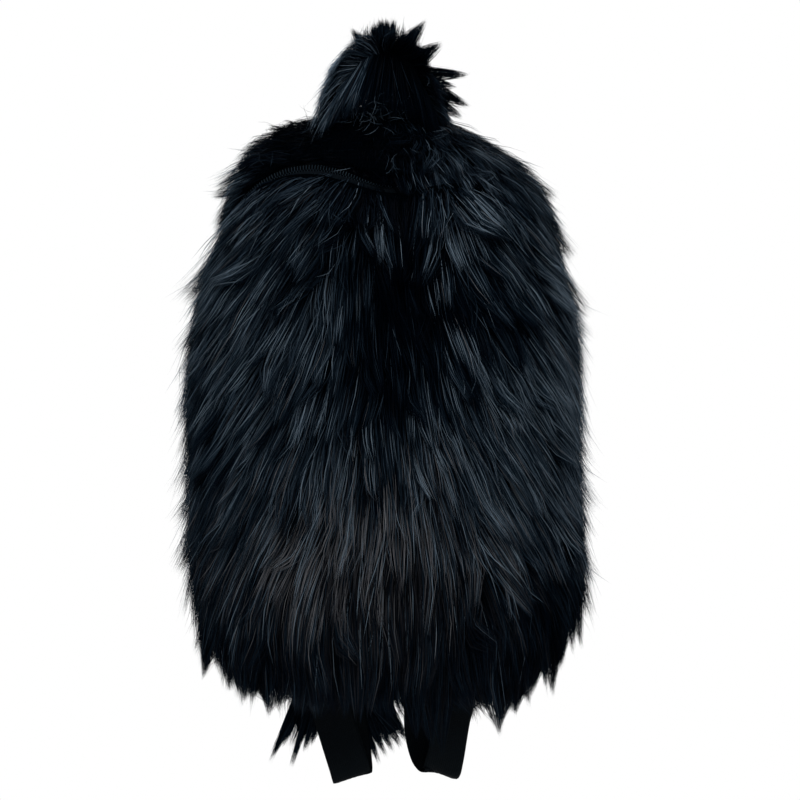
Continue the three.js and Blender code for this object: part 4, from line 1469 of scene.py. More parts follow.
def handleTone(points, curtain):
    # smooth and pale on the left, where the pale is painted highlight, dark in the middle, greyer again at
    # the far right
    h = handle
    x, z = points[:, 0], points[:, 2]
    pale = rising(x, h["paleEdge"] + h["paleSlope"] * (z - h["paleHeight"]), h["paleBlur"])
    if curtain:
        return h["darkTone"] + h["paleHighlightTone"]["curtain"] * pale
    return h["darkTone"] + h["paleHighlightTone"]["coat"] * pale + h["greyTone"] * fade(x, *h["greyFrom"])


def makeHandleFur():
    h = handle
    random = np.random.default_rng(h["seed"])
    layers = []
    for curtain, levels, seed in ((False, h["coat"], h["seed"]), (True, h["curtain"], h["seed"] + 50)):
        grown = clumped(partial(handleHair, curtain), levels, seed)
        tone, width = dressed(grown, random)
        layers.append((grown["lines"], grown["normal"], width, tone))
    layers.append(handleTufts(random))
    lines, facing, width, tone = [np.concatenate(column) for column in zip(*layers)]
    share, reach = h["paleRoots"]
    roots = share * fade(-lines[:, 1, 0], 0, reach)
    obj = strandMesh("fur_handle", lines, facing, width, tone, random, roots)
    finishPiece(obj, paints["hair"], "fur", "handle_fur")

    # matted core over the loop
    core = h["core"]
    rings = []
    for a in np.linspace(0, 1, core["rings"]):
        out, drop = [value[0] for value in aroundHandle(np.array([a]))]
        ring = []
        for k, (c, s) in enumerate(circle(core["sides"])):
            wave = 1 + core["uneven"] * math.sin(a * 47 + k * 2.1)
            radial = h["inside"] + h["thick"] + core["above"] + core["thick"] * c * wave
            side = np.array([0, (h["half"] + core["past"]) * s * wave, drop])
            ring.append(np.array(h["centre"]) + out * radial + side)
        rings.append(ring)
    finishPiece(loftMesh("fur_handle_backing", rings), paints["backing"], "fur", "handle_fur")


# bands of webbing
webbing = {
    "wide": 0.030,
    "thick": 0.0016,
    "samples": 96,
    "ribs": 9,
    "boxFrom": 3,  # the box stitch, in samples along the band
    "boxTo": 15,
    "boxHalf": 0.4,  # half its width, as a share of the band's
    "stitchPitch": 0.0028,
}
# rows run from the panel's lower edge round the fold to the strap end:
# place in metres, then the turn and tilt of the band's width in degrees
webbingRoutes = {
    "left": [
        (-0.058, 0.0199, -0.428, 0, 16),
        (-0.0515, 0.0202, -0.450, 0, 16),
        (-0.0365, 0.0195, -0.501, 0, 17),
        (-0.0276, 0.0205, -0.530, 0, 18),
        (-0.025, 0.027, -0.5395, 0, 18),
        (-0.0246, 0.035, -0.534, 4, 15),
        (-0.0276, 0.042, -0.508, 6, 8),
        (-0.0316, 0.047, -0.4825, 0, 6),
    ],
    "right": [
        (0.067, 0.0199, -0.428, 0, -14),
        (0.0615, 0.0202, -0.450, 0, -14),
        (0.051, 0.019, -0.494, 24, -16),
        (0.0450, 0.022, -0.526, 20, -19),
        (0.0415, 0.029, -0.5365, 18, -20),
        (0.0350, 0.036, -0.529, 16, -16),
        (0.0285, 0.042, -0.500, 18, -8),
        (0.0332, 0.0464, -0.4705, 4, -6),
    ],
}


def catmull(rows, k):
    # centripetal spline through the rows' places, the same one as the solids use
    places = [Vector(row[:3]) for row in rows]
    row = min(int(k * (len(rows) - 1)), len(rows) - 2)
    weight = k * (len(rows) - 1) - row
    p1, p2 = places[row], places[row + 1]
    p0 = places[row - 1] if row > 0 else p1 * 2 - p2
    p3 = places[row + 2] if row + 2 < len(rows) else p2 * 2 - p1
    gaps = [max((b - a).length ** 0.5, 1e-6) for a, b in ((p0, p1), (p1, p2), (p2, p3))]
    t1 = (p1 - p0) / gaps[0] - (p2 - p0) / (gaps[0] + gaps[1]) + (p2 - p1) / gaps[1]
    t2 = (p2 - p1) / gaps[1] - (p3 - p1) / (gaps[1] + gaps[2]) + (p3 - p2) / gaps[2]
    t1, t2 = t1 * gaps[1], t2 * gaps[1]
    c2 = p1 * -3 + p2 * 3 - t1 * 2 - t2
    c3 = p1 * 2 - p2 * 2 + t1 + t2
    return p1 + t1 * weight + c2 * weight ** 2 + c3 * weight ** 3


def bandFrames(rows, samples):
    places = [catmull(rows, k / samples) for k in range(samples + 1)]
    frames = []
    for i, place in enumerate(places):
        k = i / samples * (len(rows) - 1)
        row = min(int(k), len(rows) - 2)
        blend = k - row
        turned, tilted = [
            math.radians(rows[row][c] * (1 - blend) + rows[row + 1][c] * blend) for c in (3, 4)
        ]
        along = (places[min(i + 1, samples)] - places[max(i - 1, 0)]).normalized()
        across = Vector((
            math.cos(tilted) * math.cos(turned), math.sin(turned), math.sin(tilted) * math.cos(turned)
        ))
        across = (across - along * across.dot(along)).normalized()
        frames.append((np.array(place), np.array(across), np.array(across.cross(along).normalized())))
    return frames


def bandMesh(name, frames, wide, thick, ribs):
    # a woven band: rounded selvedges, a slightly thinner middle and fine ribs along it
    half, thin = wide / 2, thick / 2
    sides = 17
    rings, uvs = [], []
    distance = 0.0
    for i, (place, across, off) in enumerate(frames):
        if i:
            distance += np.linalg.norm(place - frames[i - 1][0])
        ring, uv = [], []
        for face in (1, -1):
            for k in range(sides):
                a = (k / (sides - 1) * 2 - 1) * face
                edge = math.sqrt(max(1 - abs(a) ** 14, 0.0))
                high = thin * (0.25 + 0.75 * edge) * (1 - 0.12 * math.cos(a * math.pi * ribs))
                ring.append(place + across * half * a + off * high * face)
                uv.append((half * a + (0.0 if face > 0 else wide * 1.2), distance))
        rings.append(ring)
        uvs += uv
    return loftMesh(name, rings, uvs)


def makeWebbing(side):
    w = webbing
    frames = bandFrames(webbingRoutes[side], w["samples"])
    obj = bandMesh("web_loop_" + side, frames, w["wide"], w["thick"], w["ribs"])
    finishPiece(obj, paints["webbing"], "webbing", "webbing_" + side)
    # a crossed box stitch where the band is sewn to the panel
    left, right, first, last = -w["boxHalf"], w["boxHalf"], w["boxFrom"], w["boxTo"]
    corners = [(left, first), (right, first), (right, last), (left, last), (left, first), (right, last)]
    corners = [frames[row][0] + frames[row][1] * w["wide"] * share for share, row in corners]
    seams = list(zip(corners, corners[1:])) + [(corners[1], corners[3])]
    outward = frames[6][2] if frames[6][2][1] > 0 else -frames[6][2]
    stitches("stitch_web_" + side, seams, outward * (w["thick"] / 2 + 0.0001), w["stitchPitch"])
    print(obj.name, "ready")


stitch = {"thread": 0.00034, "rings": ((-0.38, 0.5), (-0.24, 1.0), (0.24, 1.0), (0.38, 0.5)), "sides": 5}


def stitches(name, seams, lift, pitch):
    # short rounded stitches along straight seams; a ring's row is its place in the pitch and its size
    points, faces = [], []
    for a, b in seams:
        length = np.linalg.norm(b - a)
        along = (b - a) / length
        off = lift / np.linalg.norm(lift)
        side = np.cross(along, off)
        for i in range(max(int(length / pitch), 1)):
            centre = a + along * (i + 0.5) * pitch + lift
            faces += tubeFaces(len(stitch["rings"]), stitch["sides"], len(points))
            for s, size in stitch["rings"]:
                middle, thread = centre + along * pitch * s, stitch["thread"] * size
                points += [middle + (side * x + off * y) * thread for x, y in circle(stitch["sides"])]
    finishPiece(addMesh(name, points, faces), paints["thread"], "webbing")


def makeHandleBand():
    # two legs and the half round between them
    h = handle
    centre = np.array(h["centre"])
    middle = h["inside"] + h["thick"] / 2
    samples, reach = h["bandSamples"], h["bandReach"]
    frames = []
    for i in range(samples + 1):
        d = (i / samples) * 2 - 1
        angle = math.pi / 2 - d * reach * math.pi / 2
        angle = min(max(angle, 0.0), math.pi)
        drop = max(abs(d) * reach - 1, 0) / (reach - 1) * (centre[2] - h["foot"])
        out = np.array([math.cos(angle), 0.0, math.sin(angle)])
        frames.append((centre + out * middle - up * drop, np.array([0.0, 1.0, 0.0]), out))
    obj = bandMesh("grab_band", frames, h["half"] * 2, h["thick"], h["bandRibs"])
    finishPiece(obj, paints["webbing"], "webbing", "grab_handle")
    print(obj.name, "ready")


# padded shoulder straps
strap = {
    "rows": 90,
    "sides": 28,
    "endGap": 0.003,
    "snug": (0.985, 0.96),  # share of the solid's width and depth
    "squareness": (0.62, 0.5),  # across and in depth, 1 is round
    "seamInset": 0.0055,
    "seamWide": 0.0022,
    "seamDepth": 0.30,
    "endDepth": 0.55,  # share of the depth left at the ends
    "endRows": 5,
    "wrinkle": 0.035,
    "stitchPitch": 0.0036,
    "stitchStep": 3,  # rows from one piece of the seam to the next
    "stitchFace": 0.80,
}
strapFur = {
    # count, looseness, unevenness, spread of tone, lean on the level before at tip and root, strays
    "levels": furLevels(
        (80, 0.14, 0.15, 0.07),
        (760, 0.12, 0.18, 0.08, 0.60, 0.25),
        (4000, 0.10, 0.20, 0.12, 0.65, 0.25),
        (12000, 0.08, 0.22, 0.17, 0.80, 0.0, 0.02),
        proud=0.25, rise=0.006,
    ),
    "tone": 0.38,
    "length": 0.052,
    "lift": 0.20,
    "lean": 0.40,
    "inward": -0.06,
    "seeds": {"left": 51, "right": 57},
    # leans of the last hair across the strap, and its length
    "tips": {"left": (-0.30, 0.30, 0.040), "right": (-0.20, 0.25, 0.034)},
    # tips of the tufts that hang from the strap's end, as x and z, in their order across it
    "tufts": {
        "left": [
            (-0.0885, -0.531), (-0.080, -0.520), (-0.072, -0.535), (-0.0625, -0.524), (-0.057, -0.519),
            (-0.045, -0.512), (-0.034, -0.507), (-0.020, -0.513), (-0.0095, -0.529), (-0.0045, -0.5335),
            (0.0005, -0.528), (0.0064, -0.524), (0.0125, -0.521), (0.0185, -0.517),
        ],
        "right": [
            (0.0190, -0.514), (0.0255, -0.524), (0.0322, -0.531), (0.0390, -0.523), (0.0450, -0.513),
            (0.060, -0.492), (0.074, -0.488),
        ],
    },
    "tuftStrands": 240,
    "droop": 0.06,
    "ending": 0.05,  # length of strap over which the hair turns to its last lean
    # painted shade: the hair at the strap's end is darker where it hangs under the bag's front fur
    "endingShade": 0.55,
    "off": 0.0006,  # the roots stand this far off the strap
    "edgeFrom": 0.82,  # share of the half width past which they follow its round edge
    "edgeDrop": 0.0034,
    "turnFrom": 0.7,  # past this share the hair turns outward
    "turn": 0.9,
    "overTop": 0.0045,  # hair starts this far above the strap
    "topNarrower": 0.25,
    "topDrop": 0.0015,
    "topRoots": (0.75, 0.016),  # how much of the painted root shade the hair at the top lacks
    "tuftTone": 0.36,
    "tuftDepth": 0.016,  # length of strap that the tufts grow on
    "tuftSpread": 0.9,
    "tuftBulge": (0, 0.003, 0.001),
    "backing": {
        "rows": 60, "columns": 15, "topGap": 0.003, "lowGap": 0.008, "thick": 0.0016, "wider": 0.0006,
    },
}


def slices(name, heights):
    # width and depth of a node on level planes: lowest and highest x and y
    mesh = nodes[name].data
    co = np.array([v.co for v in mesh.vertices])
    ends = np.array([e.vertices for e in mesh.edges])
    a, b = co[ends[:, 0]], co[ends[:, 1]]
    rows = []
    for z in heights:
        crosses = (a[:, 2] - z) * (b[:, 2] - z) <= 0
        p, q = a[crosses], b[crosses]
        span = q[:, 2] - p[:, 2]
        k = np.where(np.abs(span) > 1e-9, (z - p[:, 2]) / np.where(span == 0, 1, span), 0.5)
        points = p + (q - p) * k[:, None]
        rows.append((points[:, 0].min(), points[:, 0].max(), points[:, 1].min(), points[:, 1].max()))
    return np.array(rows)


def measureStrap(side):
    low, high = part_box("strap_" + side)
    heights = np.linspace(high.z - strap["endGap"], low.z + strap["endGap"], strap["rows"])
    return heights, softened(slices("strap_" + side, heights), 3, 0)


def makeStrap(side):
    p = strap
    heights, rows = measureStrap(side)
    snugX, snugY = p["snug"]
    squareX, squareY = p["squareness"]
    rings, uvs, rim = [], [], []
    for i, z in enumerate(heights):
        x0, x1, y0, y1 = rows[i]
        centreX, centreY = (x0 + x1) / 2, (y0 + y1) / 2
        half, deep = (x1 - x0) / 2, (y1 - y0) / 2
        end = min(i, len(heights) - 1 - i) / p["endRows"]
        close = p["endDepth"] + (1 - p["endDepth"]) * min(end, 1) ** 0.5
        ring = []
        for k, (c, s) in enumerate(circle(p["sides"])):
            a = math.copysign(abs(c) ** squareX, c)
            seam = max(1 - abs(abs(a) * half - (half - p["seamInset"])) / p["seamWide"], 0)
            crown = math.copysign(abs(s) ** squareY, s) * (1 - p["seamDepth"] * seam)
            wrinkle = 1 + p["wrinkle"] * math.sin(z * 520 + a * 3) * math.sin(z * 217 + 1.3 + a)
            ring.append((centreX + half * a * snugX, centreY + deep * crown * close * wrinkle * snugY, z))
            uvs.append((half * (k / p["sides"] * 2 * math.pi), z))
        rings.append(ring)
        rim.append((centreX, centreY, z, half, deep))
    obj = loftMesh("strap_pad_" + side, rings, uvs)
    finishPiece(obj, paints["cloth"], "cloth", "strap_" + side)
    seams = []
    step = p["stitchStep"]
    for lane in (-1, 1):
        spots = [
            np.array([x + lane * (half - p["seamInset"]), y - deep * p["stitchFace"], z])
            for x, y, z, half, deep in rim
        ]
        seams += [(spots[i], spots[i + step]) for i in range(2, len(spots) - step, step)]
    stitches("stitch_strap_" + side, seams, np.array([0, -0.0001, 0]), p["stitchPitch"])
    print(obj.name, "ready")


def makeStrapFur(side):
    f = strapFur
    heights, rows = measureStrap(side)
    planes, columns = heights[::-1], rows[::-1]
    bottom, top = planes[0], planes[-1]
    outward = 1 if side == "right" else -1
    tipLeft, tipRight, tipLength = f["tips"][side]

    def at(z, lane):
        # a place on the strap's outer face; lane runs from -1 to 1 across it
        x0, x1, _, y1 = [np.interp(z, planes, columns[:, c]) for c in range(4)]
        edge = fade(np.abs(lane), f["edgeFrom"], 1 - f["edgeFrom"])
        y = y1 + f["off"] - f["edgeDrop"] * edge ** 2
        return np.stack([(x0 + x1) / 2 + lane * (x1 - x0) / 2 * 0.99, y, z], -1)

    def grow(count, seed, level):
        draw = np.random.default_rng(seed)
        z = draw.uniform(bottom, top + f["overTop"], count)
        lane = draw.uniform(-1, 1, count)
        root = at(z, lane)
        past = fade(z, top, f["overTop"])
        root[:, 0] -= (root[:, 0] - at(z, 0 * lane)[:, 0]) * f["topNarrower"] * past
        root[:, 1] -= f["topDrop"] * past ** 1.5
        step = 0.004
        along = unit(at(z - step, lane) - at(z + step, lane))
        across = np.stack([np.ones(count), np.zeros(count), np.zeros(count)], -1)
        normal = unit(np.cross(along, across))
        normal = normal * np.sign(normal[:, 1:2])
        turned = np.sign(lane) * fade(np.abs(lane), f["turnFrom"], 1 - f["turnFrom"]) * f["turn"]
        normal = unit(normal + across * turned[:, None])
        outerSide = (lane * outward + 1) / 2
        lean = f["inward"] + (f["lean"] - f["inward"]) * outerSide
        ending = fade(bottom + f["ending"] - z, 0, f["ending"])
        lean = lean * outward * (1 - ending) + (tipLeft + (tipRight - tipLeft) * (lane + 1) / 2) * ending
        flow = along + across * lean[:, None] + draw.normal(0, level["loose"], (count, 3))
        flow = unit(flow - normal * (flow * normal).sum(-1, keepdims=True))
        length = f["length"] + (tipLength - f["length"]) * ending
        length *= draw.uniform(1 - level["uneven"], 1 + level["uneven"], count)
        lift = f["lift"] * draw.uniform(0.5, 1.5, count)
        lines = freeHair(root, flow, length, normal, lift, f["droop"])
        # painted shade towards the strap's end
        base = f["tone"] * (1 - f["endingShade"] * ending)
        return {"root": root, "normal": normal, "lines": lines, "base": base}

    seed = f["seeds"][side]
    grown = clumped(grow, f["levels"], seed)
    random = np.random.default_rng(seed)
    tone, width = dressed(grown, random)
    layers = [(grown["lines"], grown["normal"], width, tone)]
    tips = f["tufts"][side]
    for k, (tipX, tipZ) in enumerate(tips):
        amount = f["tuftStrands"]
        z = bottom + f["tuftDepth"] * random.uniform(0, 1, amount)
        lane = -1 + 2 * (k + 0.5 + f["tuftSpread"] * random.uniform(-1, 1, amount)) / len(tips)
        roots = at(z, np.clip(lane, -1, 1))
        tip = np.array([tipX, roots[:, 1].mean() + 0.001, tipZ])
        facing = np.tile([0.0, -1.0, 0.0], (amount, 1))
        layers.append(pointedTuft(roots, tip, np.array(f["tuftBulge"]), facing, f["tuftTone"], random))
    lines, facing, width, tone = [np.concatenate(column) for column in zip(*layers)]
    share, reach = f["topRoots"]
    roots = share * np.clip(1 - (top + f["overTop"] - lines[:, 0, 2]) / reach, 0, 1)
    obj = strandMesh("fur_strap_" + side, lines, facing, width, tone, random, roots)
    finishPiece(obj, paints["hair"], "fur", "strap_fur_" + side)

    b = f["backing"]
    lanes = np.linspace(-1, 1, b["columns"])
    thicker = np.stack([lanes * b["wider"], np.full(len(lanes), b["thick"]), lanes * 0], -1)
    heights = np.linspace(top - b["topGap"], bottom + b["lowGap"], b["rows"])
    inner = np.stack([at(np.full(len(lanes), z), lanes) for z in heights])
    under = thickSheet("fur_strap_backing_" + side, inner + thicker, inner)
    finishPiece(under, paints["backing"], "fur", "strap_fur_" + side)


# padded back panel
panel = {
    "rows": 74,
    "columns": 60,
    "front": 0.0126,
    "endGap": 0.0012,
    "snug": 0.992,
    "edgeCrowding": 0.85,  # below 1 the columns stand closer to the side edges
    "rimThick": 0.0022,
    "crown": 0.0036,
    "crownReach": 0.011,
    "pucker": 0.0009,
    "puckers": 58,
    "puckerAt": (0.016, 0.010),  # distance from the edge and reach
    "seamAt": (0.0085, 0.0022),
    "seamDepth": 0.0018,
    "sag": 0.0010,
    # soft folds: x, z, slope and height, then the reach of each across and along it
    "folds": [
        (-0.060, -0.120, 0.55, -0.0020),
        (0.070, -0.135, -0.60, -0.0021),
        (0.010, -0.215, 0.20, -0.0017),
        (-0.085, -0.330, -0.35, -0.0019),
        (0.080, -0.350, 0.45, -0.0021),
        (-0.015, -0.395, -0.15, -0.0018),
        (0.095, -0.240, -0.25, -0.0018),
        (-0.100, -0.230, 0.30, -0.0018),
        (0.000, -0.290, 0.75, -0.0014),
    ],
    "foldReach": (0.006, 0.030),
    "binding": {"rings": 300, "sides": 10, "half": 0.0021, "behind": 0.0021, "inset": 0.0012, "flat": 1.1},
}


def makeBackPanel():
    p = panel
    low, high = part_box("back_panel")
    heights = np.linspace(high.z - p["endGap"], low.z + p["endGap"], p["rows"])
    rows = slices("back_panel", heights)
    across = np.linspace(-1, 1, p["columns"])
    across = np.sign(across) * np.abs(across) ** p["edgeCrowding"]
    depth, middle = (high.z - low.z) / 2, (high.z + low.z) / 2
    foldAcross, foldAlong = p["foldReach"]
    outer, inner = [], []
    for i, z in enumerate(heights):
        x0, x1 = rows[i, :2]
        x = (x0 + x1) / 2 + across * (x1 - x0) / 2 * p["snug"]
        edge = np.minimum((1 - np.abs(across)) * (x1 - x0) / 2, depth - abs(z - middle))
        full = 1 - np.exp(-edge / p["crownReach"])
        around = np.sin(np.arctan2(z - middle, x) * p["puckers"])
        relief = p["pucker"] * around * bell(edge, *p["puckerAt"])
        relief = relief + p["sag"] * np.sin(x * 46 + 1 + 9 * z) * np.sin(z * 38)
        for foldX, foldZ, slope, size in p["folds"]:
            away = (z - foldZ) - slope * (x - foldX)
            relief = relief + size * bell(away, 0, foldAcross) * bell(x, foldX, foldAlong)
        thick = p["rimThick"] + p["crown"] * full - p["seamDepth"] * bell(edge, *p["seamAt"]) + relief * full
        outer.append(np.stack([x, p["front"] + thick, np.full(len(x), z)], -1))
        inner.append(np.stack([x, np.full(len(x), p["front"]), np.full(len(x), z)], -1))
    outer, inner = np.stack(outer), np.stack(inner)
    uv = np.concatenate([outer.reshape(-1, 3), inner.reshape(-1, 3)])[:, [0, 2]]
    obj = thickSheet("panel_pad", outer, inner, uv)
    finishPiece(obj, paints["cloth"], "cloth", "back_panel")
    rim = list(zip(rows[:, 1], heights)) + list(zip(rows[::-1, 0], heights[::-1]))
    makeBinding(rim)
    print("back panel ready")


def makeBinding(rim):
    # binding tape round the panel's rim, from x and z of its outline
    b = panel["binding"]
    closed = np.array(rim + rim[:1])
    run = np.concatenate([[0], np.cumsum(np.linalg.norm(np.diff(closed, axis=0), axis=1))])
    spots = np.linspace(0, run[-1], b["rings"], endpoint=False)
    x, z = np.interp(spots, run, closed[:, 0]), np.interp(spots, run, closed[:, 1])
    place = np.stack([x, np.full(len(x), panel["front"] + b["behind"]), z], -1)
    back = np.array([0, 1.0, 0])
    points, uvs = [], []
    for i, spot in enumerate(spots):
        along = unit(place[(i + 1) % len(place)] - place[i - 1])
        out = np.cross(along, back)
        half = b["half"] * (1 + 0.05 * math.sin(i * 2.1))
        for k, (c, s) in enumerate(circle(b["sides"])):
            points.append(place[i] - out * b["inset"] + out * c * half + back * s * half * b["flat"])
            uvs.append((k * 0.0013, spot))
    faces = gridFaces(b["rings"], b["sides"], closed=True, ring=True)
    finishPiece(addMesh("panel_binding", points, faces, uvs), paints["webbing"], "cloth")


# zip
zipper = {
    "samples": 150,
    "tapeFrom": 0.0004,
    "tapeTo": 0.0053,
    "tapeThick": 0.0007,
    # the tape's section: share of its width and of its thickness, with the cord at its edge
    "tapeSection": (
        (0, 0), (0.5, 0), (0.9, 0), (1, 0.2), (1, 0.8), (0.9, 1), (0.5, 1), (0.12, 1.5), (0, 1.2),
    ),
    "endGap": 0.004,
    "toothPitch": 0.0022,
    # rings of a tooth: share of its reach, size and height
    "tooth": ((0.02, 0.75, 0.65), (0.2, 1.1, 0.95), (0.66, 1.0, 0.85), (1.0, 0.8, 0.2)),
    "toothSides": 6,
    "toothHigh": 0.0009,
    # on the upper side and on the lower one
    "toothReach": {1: 0.0025, -1: 0.0009},
    "toothRise": {1: 0.0018, -1: 0.0},
    # how long the teeth show against these, at places in x
    "toothShow": ((-0.050, 1.25), (-0.030, 1.10), (-0.008, 0.40)),
    "toothSize": 0.00024,
    "sink": 0.0006,
    "toothSink": 0.6,
}


def zipFrames(samples, spare=0.0):
    # evenly spaced along the zip
    turns = np.linspace(body["zipFrom"] + spare, body["zipTo"] - spare, 600)
    steps = np.linalg.norm(np.diff(onBody(turns, zipHeight(turns)), axis=0), axis=1)
    run = np.concatenate([[0], np.cumsum(steps)])
    turns = np.interp(np.linspace(0, run[-1], samples), run, turns)
    place = onBody(turns, zipHeight(turns))
    off = bodyNormal(turns, zipHeight(turns))
    along = unit(np.gradient(place, axis=0))
    across = unit(np.cross(along, off))
    across = across * np.sign(across[:, 2:3])
    return place, along, across, off


def makeZip():
    z = zipper
    place, _, across, off = zipFrames(z["samples"])
    # the upper tape takes the shaded copy of the tape's cloth, the lower one the lit copy
    for name, side, paint in (("upper", 1, "tape"), ("lower", -1, "litLowTape")):
        rings, uvs = [], []
        run = 0.0
        for i in range(len(place)):
            run += np.linalg.norm(place[i] - place[i - 1]) if i else 0.0
            ring = []
            for share, high in z["tapeSection"]:
                reach = z["tapeFrom"] + (z["tapeTo"] - z["tapeFrom"]) * share
                lift = -z["sink"] - z["tapeThick"] * (1 - high)
                ring.append(place[i] + across[i] * side * reach + off[i] * lift)
                uvs.append((reach * (1 if high > 0.5 else -1), run))
            rings.append(ring if side > 0 else ring[::-1])
        finishPiece(loftMesh("zip_tape_" + name, rings, uvs), paints[paint], "zip", "zip")

    length = np.linalg.norm(np.diff(place, axis=0), axis=1).sum()
    teeth = int(length / z["toothPitch"]) * 2
    place, along, across, off = zipFrames(teeth, z["endGap"])
    points, faces = [], []
    for i in range(teeth):
        side = 1 if i % 2 else -1
        long = np.interp(place[i][0], *np.array(z["toothShow"]).T)
        faces += tubeFaces(len(z["tooth"]), z["toothSides"], len(points))
        for share, size, high in z["tooth"]:
            rise = high * z["toothHigh"] - z["sink"] * z["toothSink"] + z["toothRise"][side] * share * long
            centre = place[i] + across[i] * side * z["toothReach"][side] * share * long + off[i] * rise
            half = z["toothSize"] * size
            points += [centre + (along[i] * c + off[i] * s) * half for c, s in circle(z["toothSides"])]
    finishPiece(addMesh("zip_coil", points, faces), paints["coil"], "zip", "zip")
    print("zip ready, teeth", teeth)


slider = {
    "length": 0.011,
    "width": 0.008,
    "corner": 0.0026,
    "high": 0.003,
    "seat": 0.0012,
    "fromLowEnd": 0.0042,
    # two plates with a waist between them: share of the outline, and height
    "plates": (
        (0.92, 0.0), (1, 0.0003), (1, 0.0009), (0.8, 0.0012),
        (0.8, 0.0017), (1, 0.0020), (1, 0.0024), (0.9, 0.0027),
    ),
    "bridge": {
        "rings": 14, "sides": 8, "along": 0.0036, "forward": 0.0006, "foot": 0.0024, "under": 0.0010,
        "wide": 0.0011, "thick": 0.0006,
    },
    "pull": 0.0245,
    "pullWidth": 0.006,
    "pullThick": 0.0013,
    "pullCorner": 0.0024,
    "slot": (0.62, 0.5, 0.0013),  # share of the pull's length and width, and corner
}


def roundedOutline(length, width, corner, count=32):
    # points round a rectangle with rounded corners, as (across, along) rows
    points = []
    for k in range(count):
        turn = (k + 0.5) / count * 2 * math.pi
        c, s = math.cos(turn), math.sin(turn)
        cornerX = math.copysign(width / 2 - corner, c)
        cornerY = math.copysign(length / 2 - corner, s)
        points.append((cornerX + corner * c, cornerY + corner * s))
    return np.array(points)


def atLevel(outline, share, high, shift=0.0):
    return [(a * share, b * share + shift, high) for a, b in outline]


def bridgeRings():
    # the bow over the slider that holds the pull
    b, high = slider["bridge"], slider["high"]
    rings = []
    for k in range(b["rings"] + 1):
        turn = k / b["rings"] * math.pi
        c, s = math.cos(turn), math.sin(turn)
        along, rise = c * b["along"] + b["forward"], b["foot"] + s * (high - b["under"])
        rings.append([
            (b["wide"] * x, along + b["thick"] * c * y, rise + b["thick"] * s * y)
            for x, y in circle(b["sides"])
        ])
    return rings


def pullRings():
    # a tapered tab with a long slot, as rings from the slot over the outer edge and back
    high, thick = slider["high"] + 0.0004, slider["pullThick"]
    size = (slider["pull"], slider["pullWidth"])
    tab = roundedOutline(*size, slider["pullCorner"], 40)
    long, wide, corner = slider["slot"]
    slot = roundedOutline(size[0] * long, size[1] * wide, corner, 40)
    shift = size[0] / 2 - 0.002
    rows = (
        (slot, 1.04, 0.0002), (tab, 0.97, 0.0), (tab, 1, 0.0003),
        (tab, 1, thick - 0.0003), (tab, 0.97, thick), (slot, 1.04, thick - 0.0002), (slot, 1, thick / 2),
    )
    return [atLevel(outline, share, high + lift, shift) for outline, share, lift in rows]


def makeSlider():
    s = slider
    low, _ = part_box("zip_slider")
    leftEnd = body["zipTurn"] < 0.3
    turn = np.interp(low.z + s["fromLowEnd"], body["zipZ"][leftEnd], body["zipTurn"][leftEnd])
    turns = np.array([turn - 0.008, turn, turn + 0.008])
    place = onBody(turns, zipHeight(turns))
    off = bodyNormal(turns, zipHeight(turns))[1]
    along = unit(place[2] - place[0])
    across = np.cross(along, off)
    centre = place[1] + off * s["seat"]
    shape = roundedOutline(s["length"], s["width"], s["corner"])
    plates = [atLevel(shape, share, high) for share, high in s["plates"]]
    points, faces = [], []
    for rings, ring in ((plates, False), (bridgeRings(), False), (pullRings(), True)):
        rows, size, base = len(rings), len(rings[0]), len(points)
        if ring:
            new = gridFaces(rows, size, closed=True, ring=True)
            faces += [tuple(base + i for i in face) for face in new]
        else:
            faces += tubeFaces(rows, size, base)
        points += [centre + across * a + along * b + off * c for row in rings for a, b, c in row]
    finishPiece(addMesh("zip_pull", points, faces), paints["sliderMetal"], "zip", "zip_slider")
    print("slider ready")


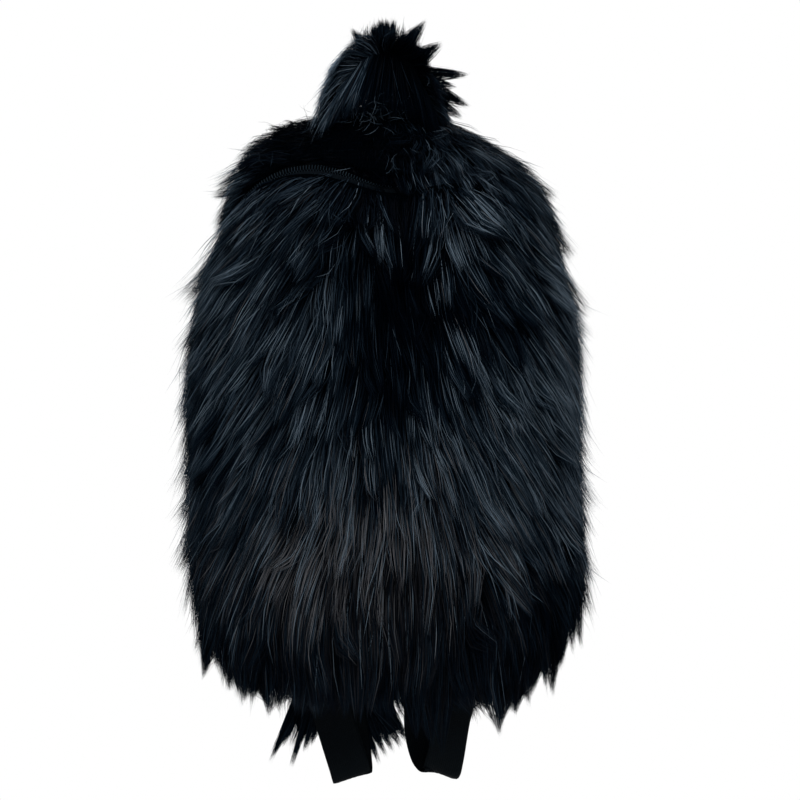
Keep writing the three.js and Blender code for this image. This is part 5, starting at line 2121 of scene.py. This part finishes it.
# build
wear = makeWearGroup()
weave = makeWeaveGroup()
cloths = {
    # threads per metre along and across, relief in metres, then roughness and sheen
    # the fur's dark base cloth, made near black and without shine as painted shade in the trough above the
    # zip and deep in the pile
    "backing": dict(
        dark=(0.0001, 0.0003, 0.0006), light=(0.0004, 0.0009, 0.0016), threads=(400, 400),
        bump=0.0004, roughness=0.9, coords="Object", specular=0.0,
    ),
    "cloth": dict(
        dark=(0.0012, 0.0017, 0.0022), light=(0.0110, 0.0130, 0.0160), threads=(1150, 1150),
        bump=0.00020, roughness=0.62, sheen=0.06,
    ),
    "lining": dict(
        dark=(0.0020, 0.0026, 0.0032), light=(0.014, 0.016, 0.019), threads=(1500, 1500),
        bump=0.00012, roughness=0.62, coords="Object",
    ),
    "webbing": dict(
        dark=(0.0004, 0.0009, 0.0013), light=(0.0024, 0.0043, 0.0060), threads=(1100, 620),
        bump=0.00022, roughness=0.42,
    ),
    # painted shade: the upper tape, darker and less shiny, in the shade of the trough above the zip
    "tape": dict(
        dark=(0.0001, 0.0003, 0.0006), light=(0.0006, 0.0012, 0.0020), threads=(1600, 1900),
        bump=0.00012, roughness=0.6, specular=0.004,
    ),
    # painted light: the same tape, paler and shinier, lit as the pale band under the teeth
    "litLowTape": dict(
        dark=(0.0010, 0.0018, 0.0028), light=(0.0040, 0.0066, 0.0092), threads=(1600, 1900),
        bump=0.00012, roughness=0.6, specular=0.012,
    ),
    "thread": dict(
        dark=(0.0030, 0.0040, 0.0050), light=(0.016, 0.020, 0.024), threads=(3000, 3000),
        bump=0.00008, roughness=0.5, coords="Object",
    ),
}
paints = {name: makeClothMaterial(name, weave, wear, **values) for name, values in cloths.items()}
paints["hair"] = makeHairMaterial()
paints["coil"] = makeHardMaterial("coilNylon", wear, (0.0155, 0.0250, 0.0340), 0.42, 0.05)
paints["sliderMetal"] = makeHardMaterial("sliderPaint", wear, (0.0030, 0.0036, 0.0042), 0.3, 0.3)

makeStudio()
measureBody()
measureZipLine()
wall = nodes["bag_wall"]
wall.data.materials.clear()
wall.data.materials.append(paints["lining"])
makeBackPanel()
makeZip()
makeSlider()
makeHandleBand()
for side in ("left", "right"):
    makeStrap(side)
    makeWebbing(side)
    makeStrapFur(side)
makeHandleFur()
makeTopFur()
makeFrontFur()
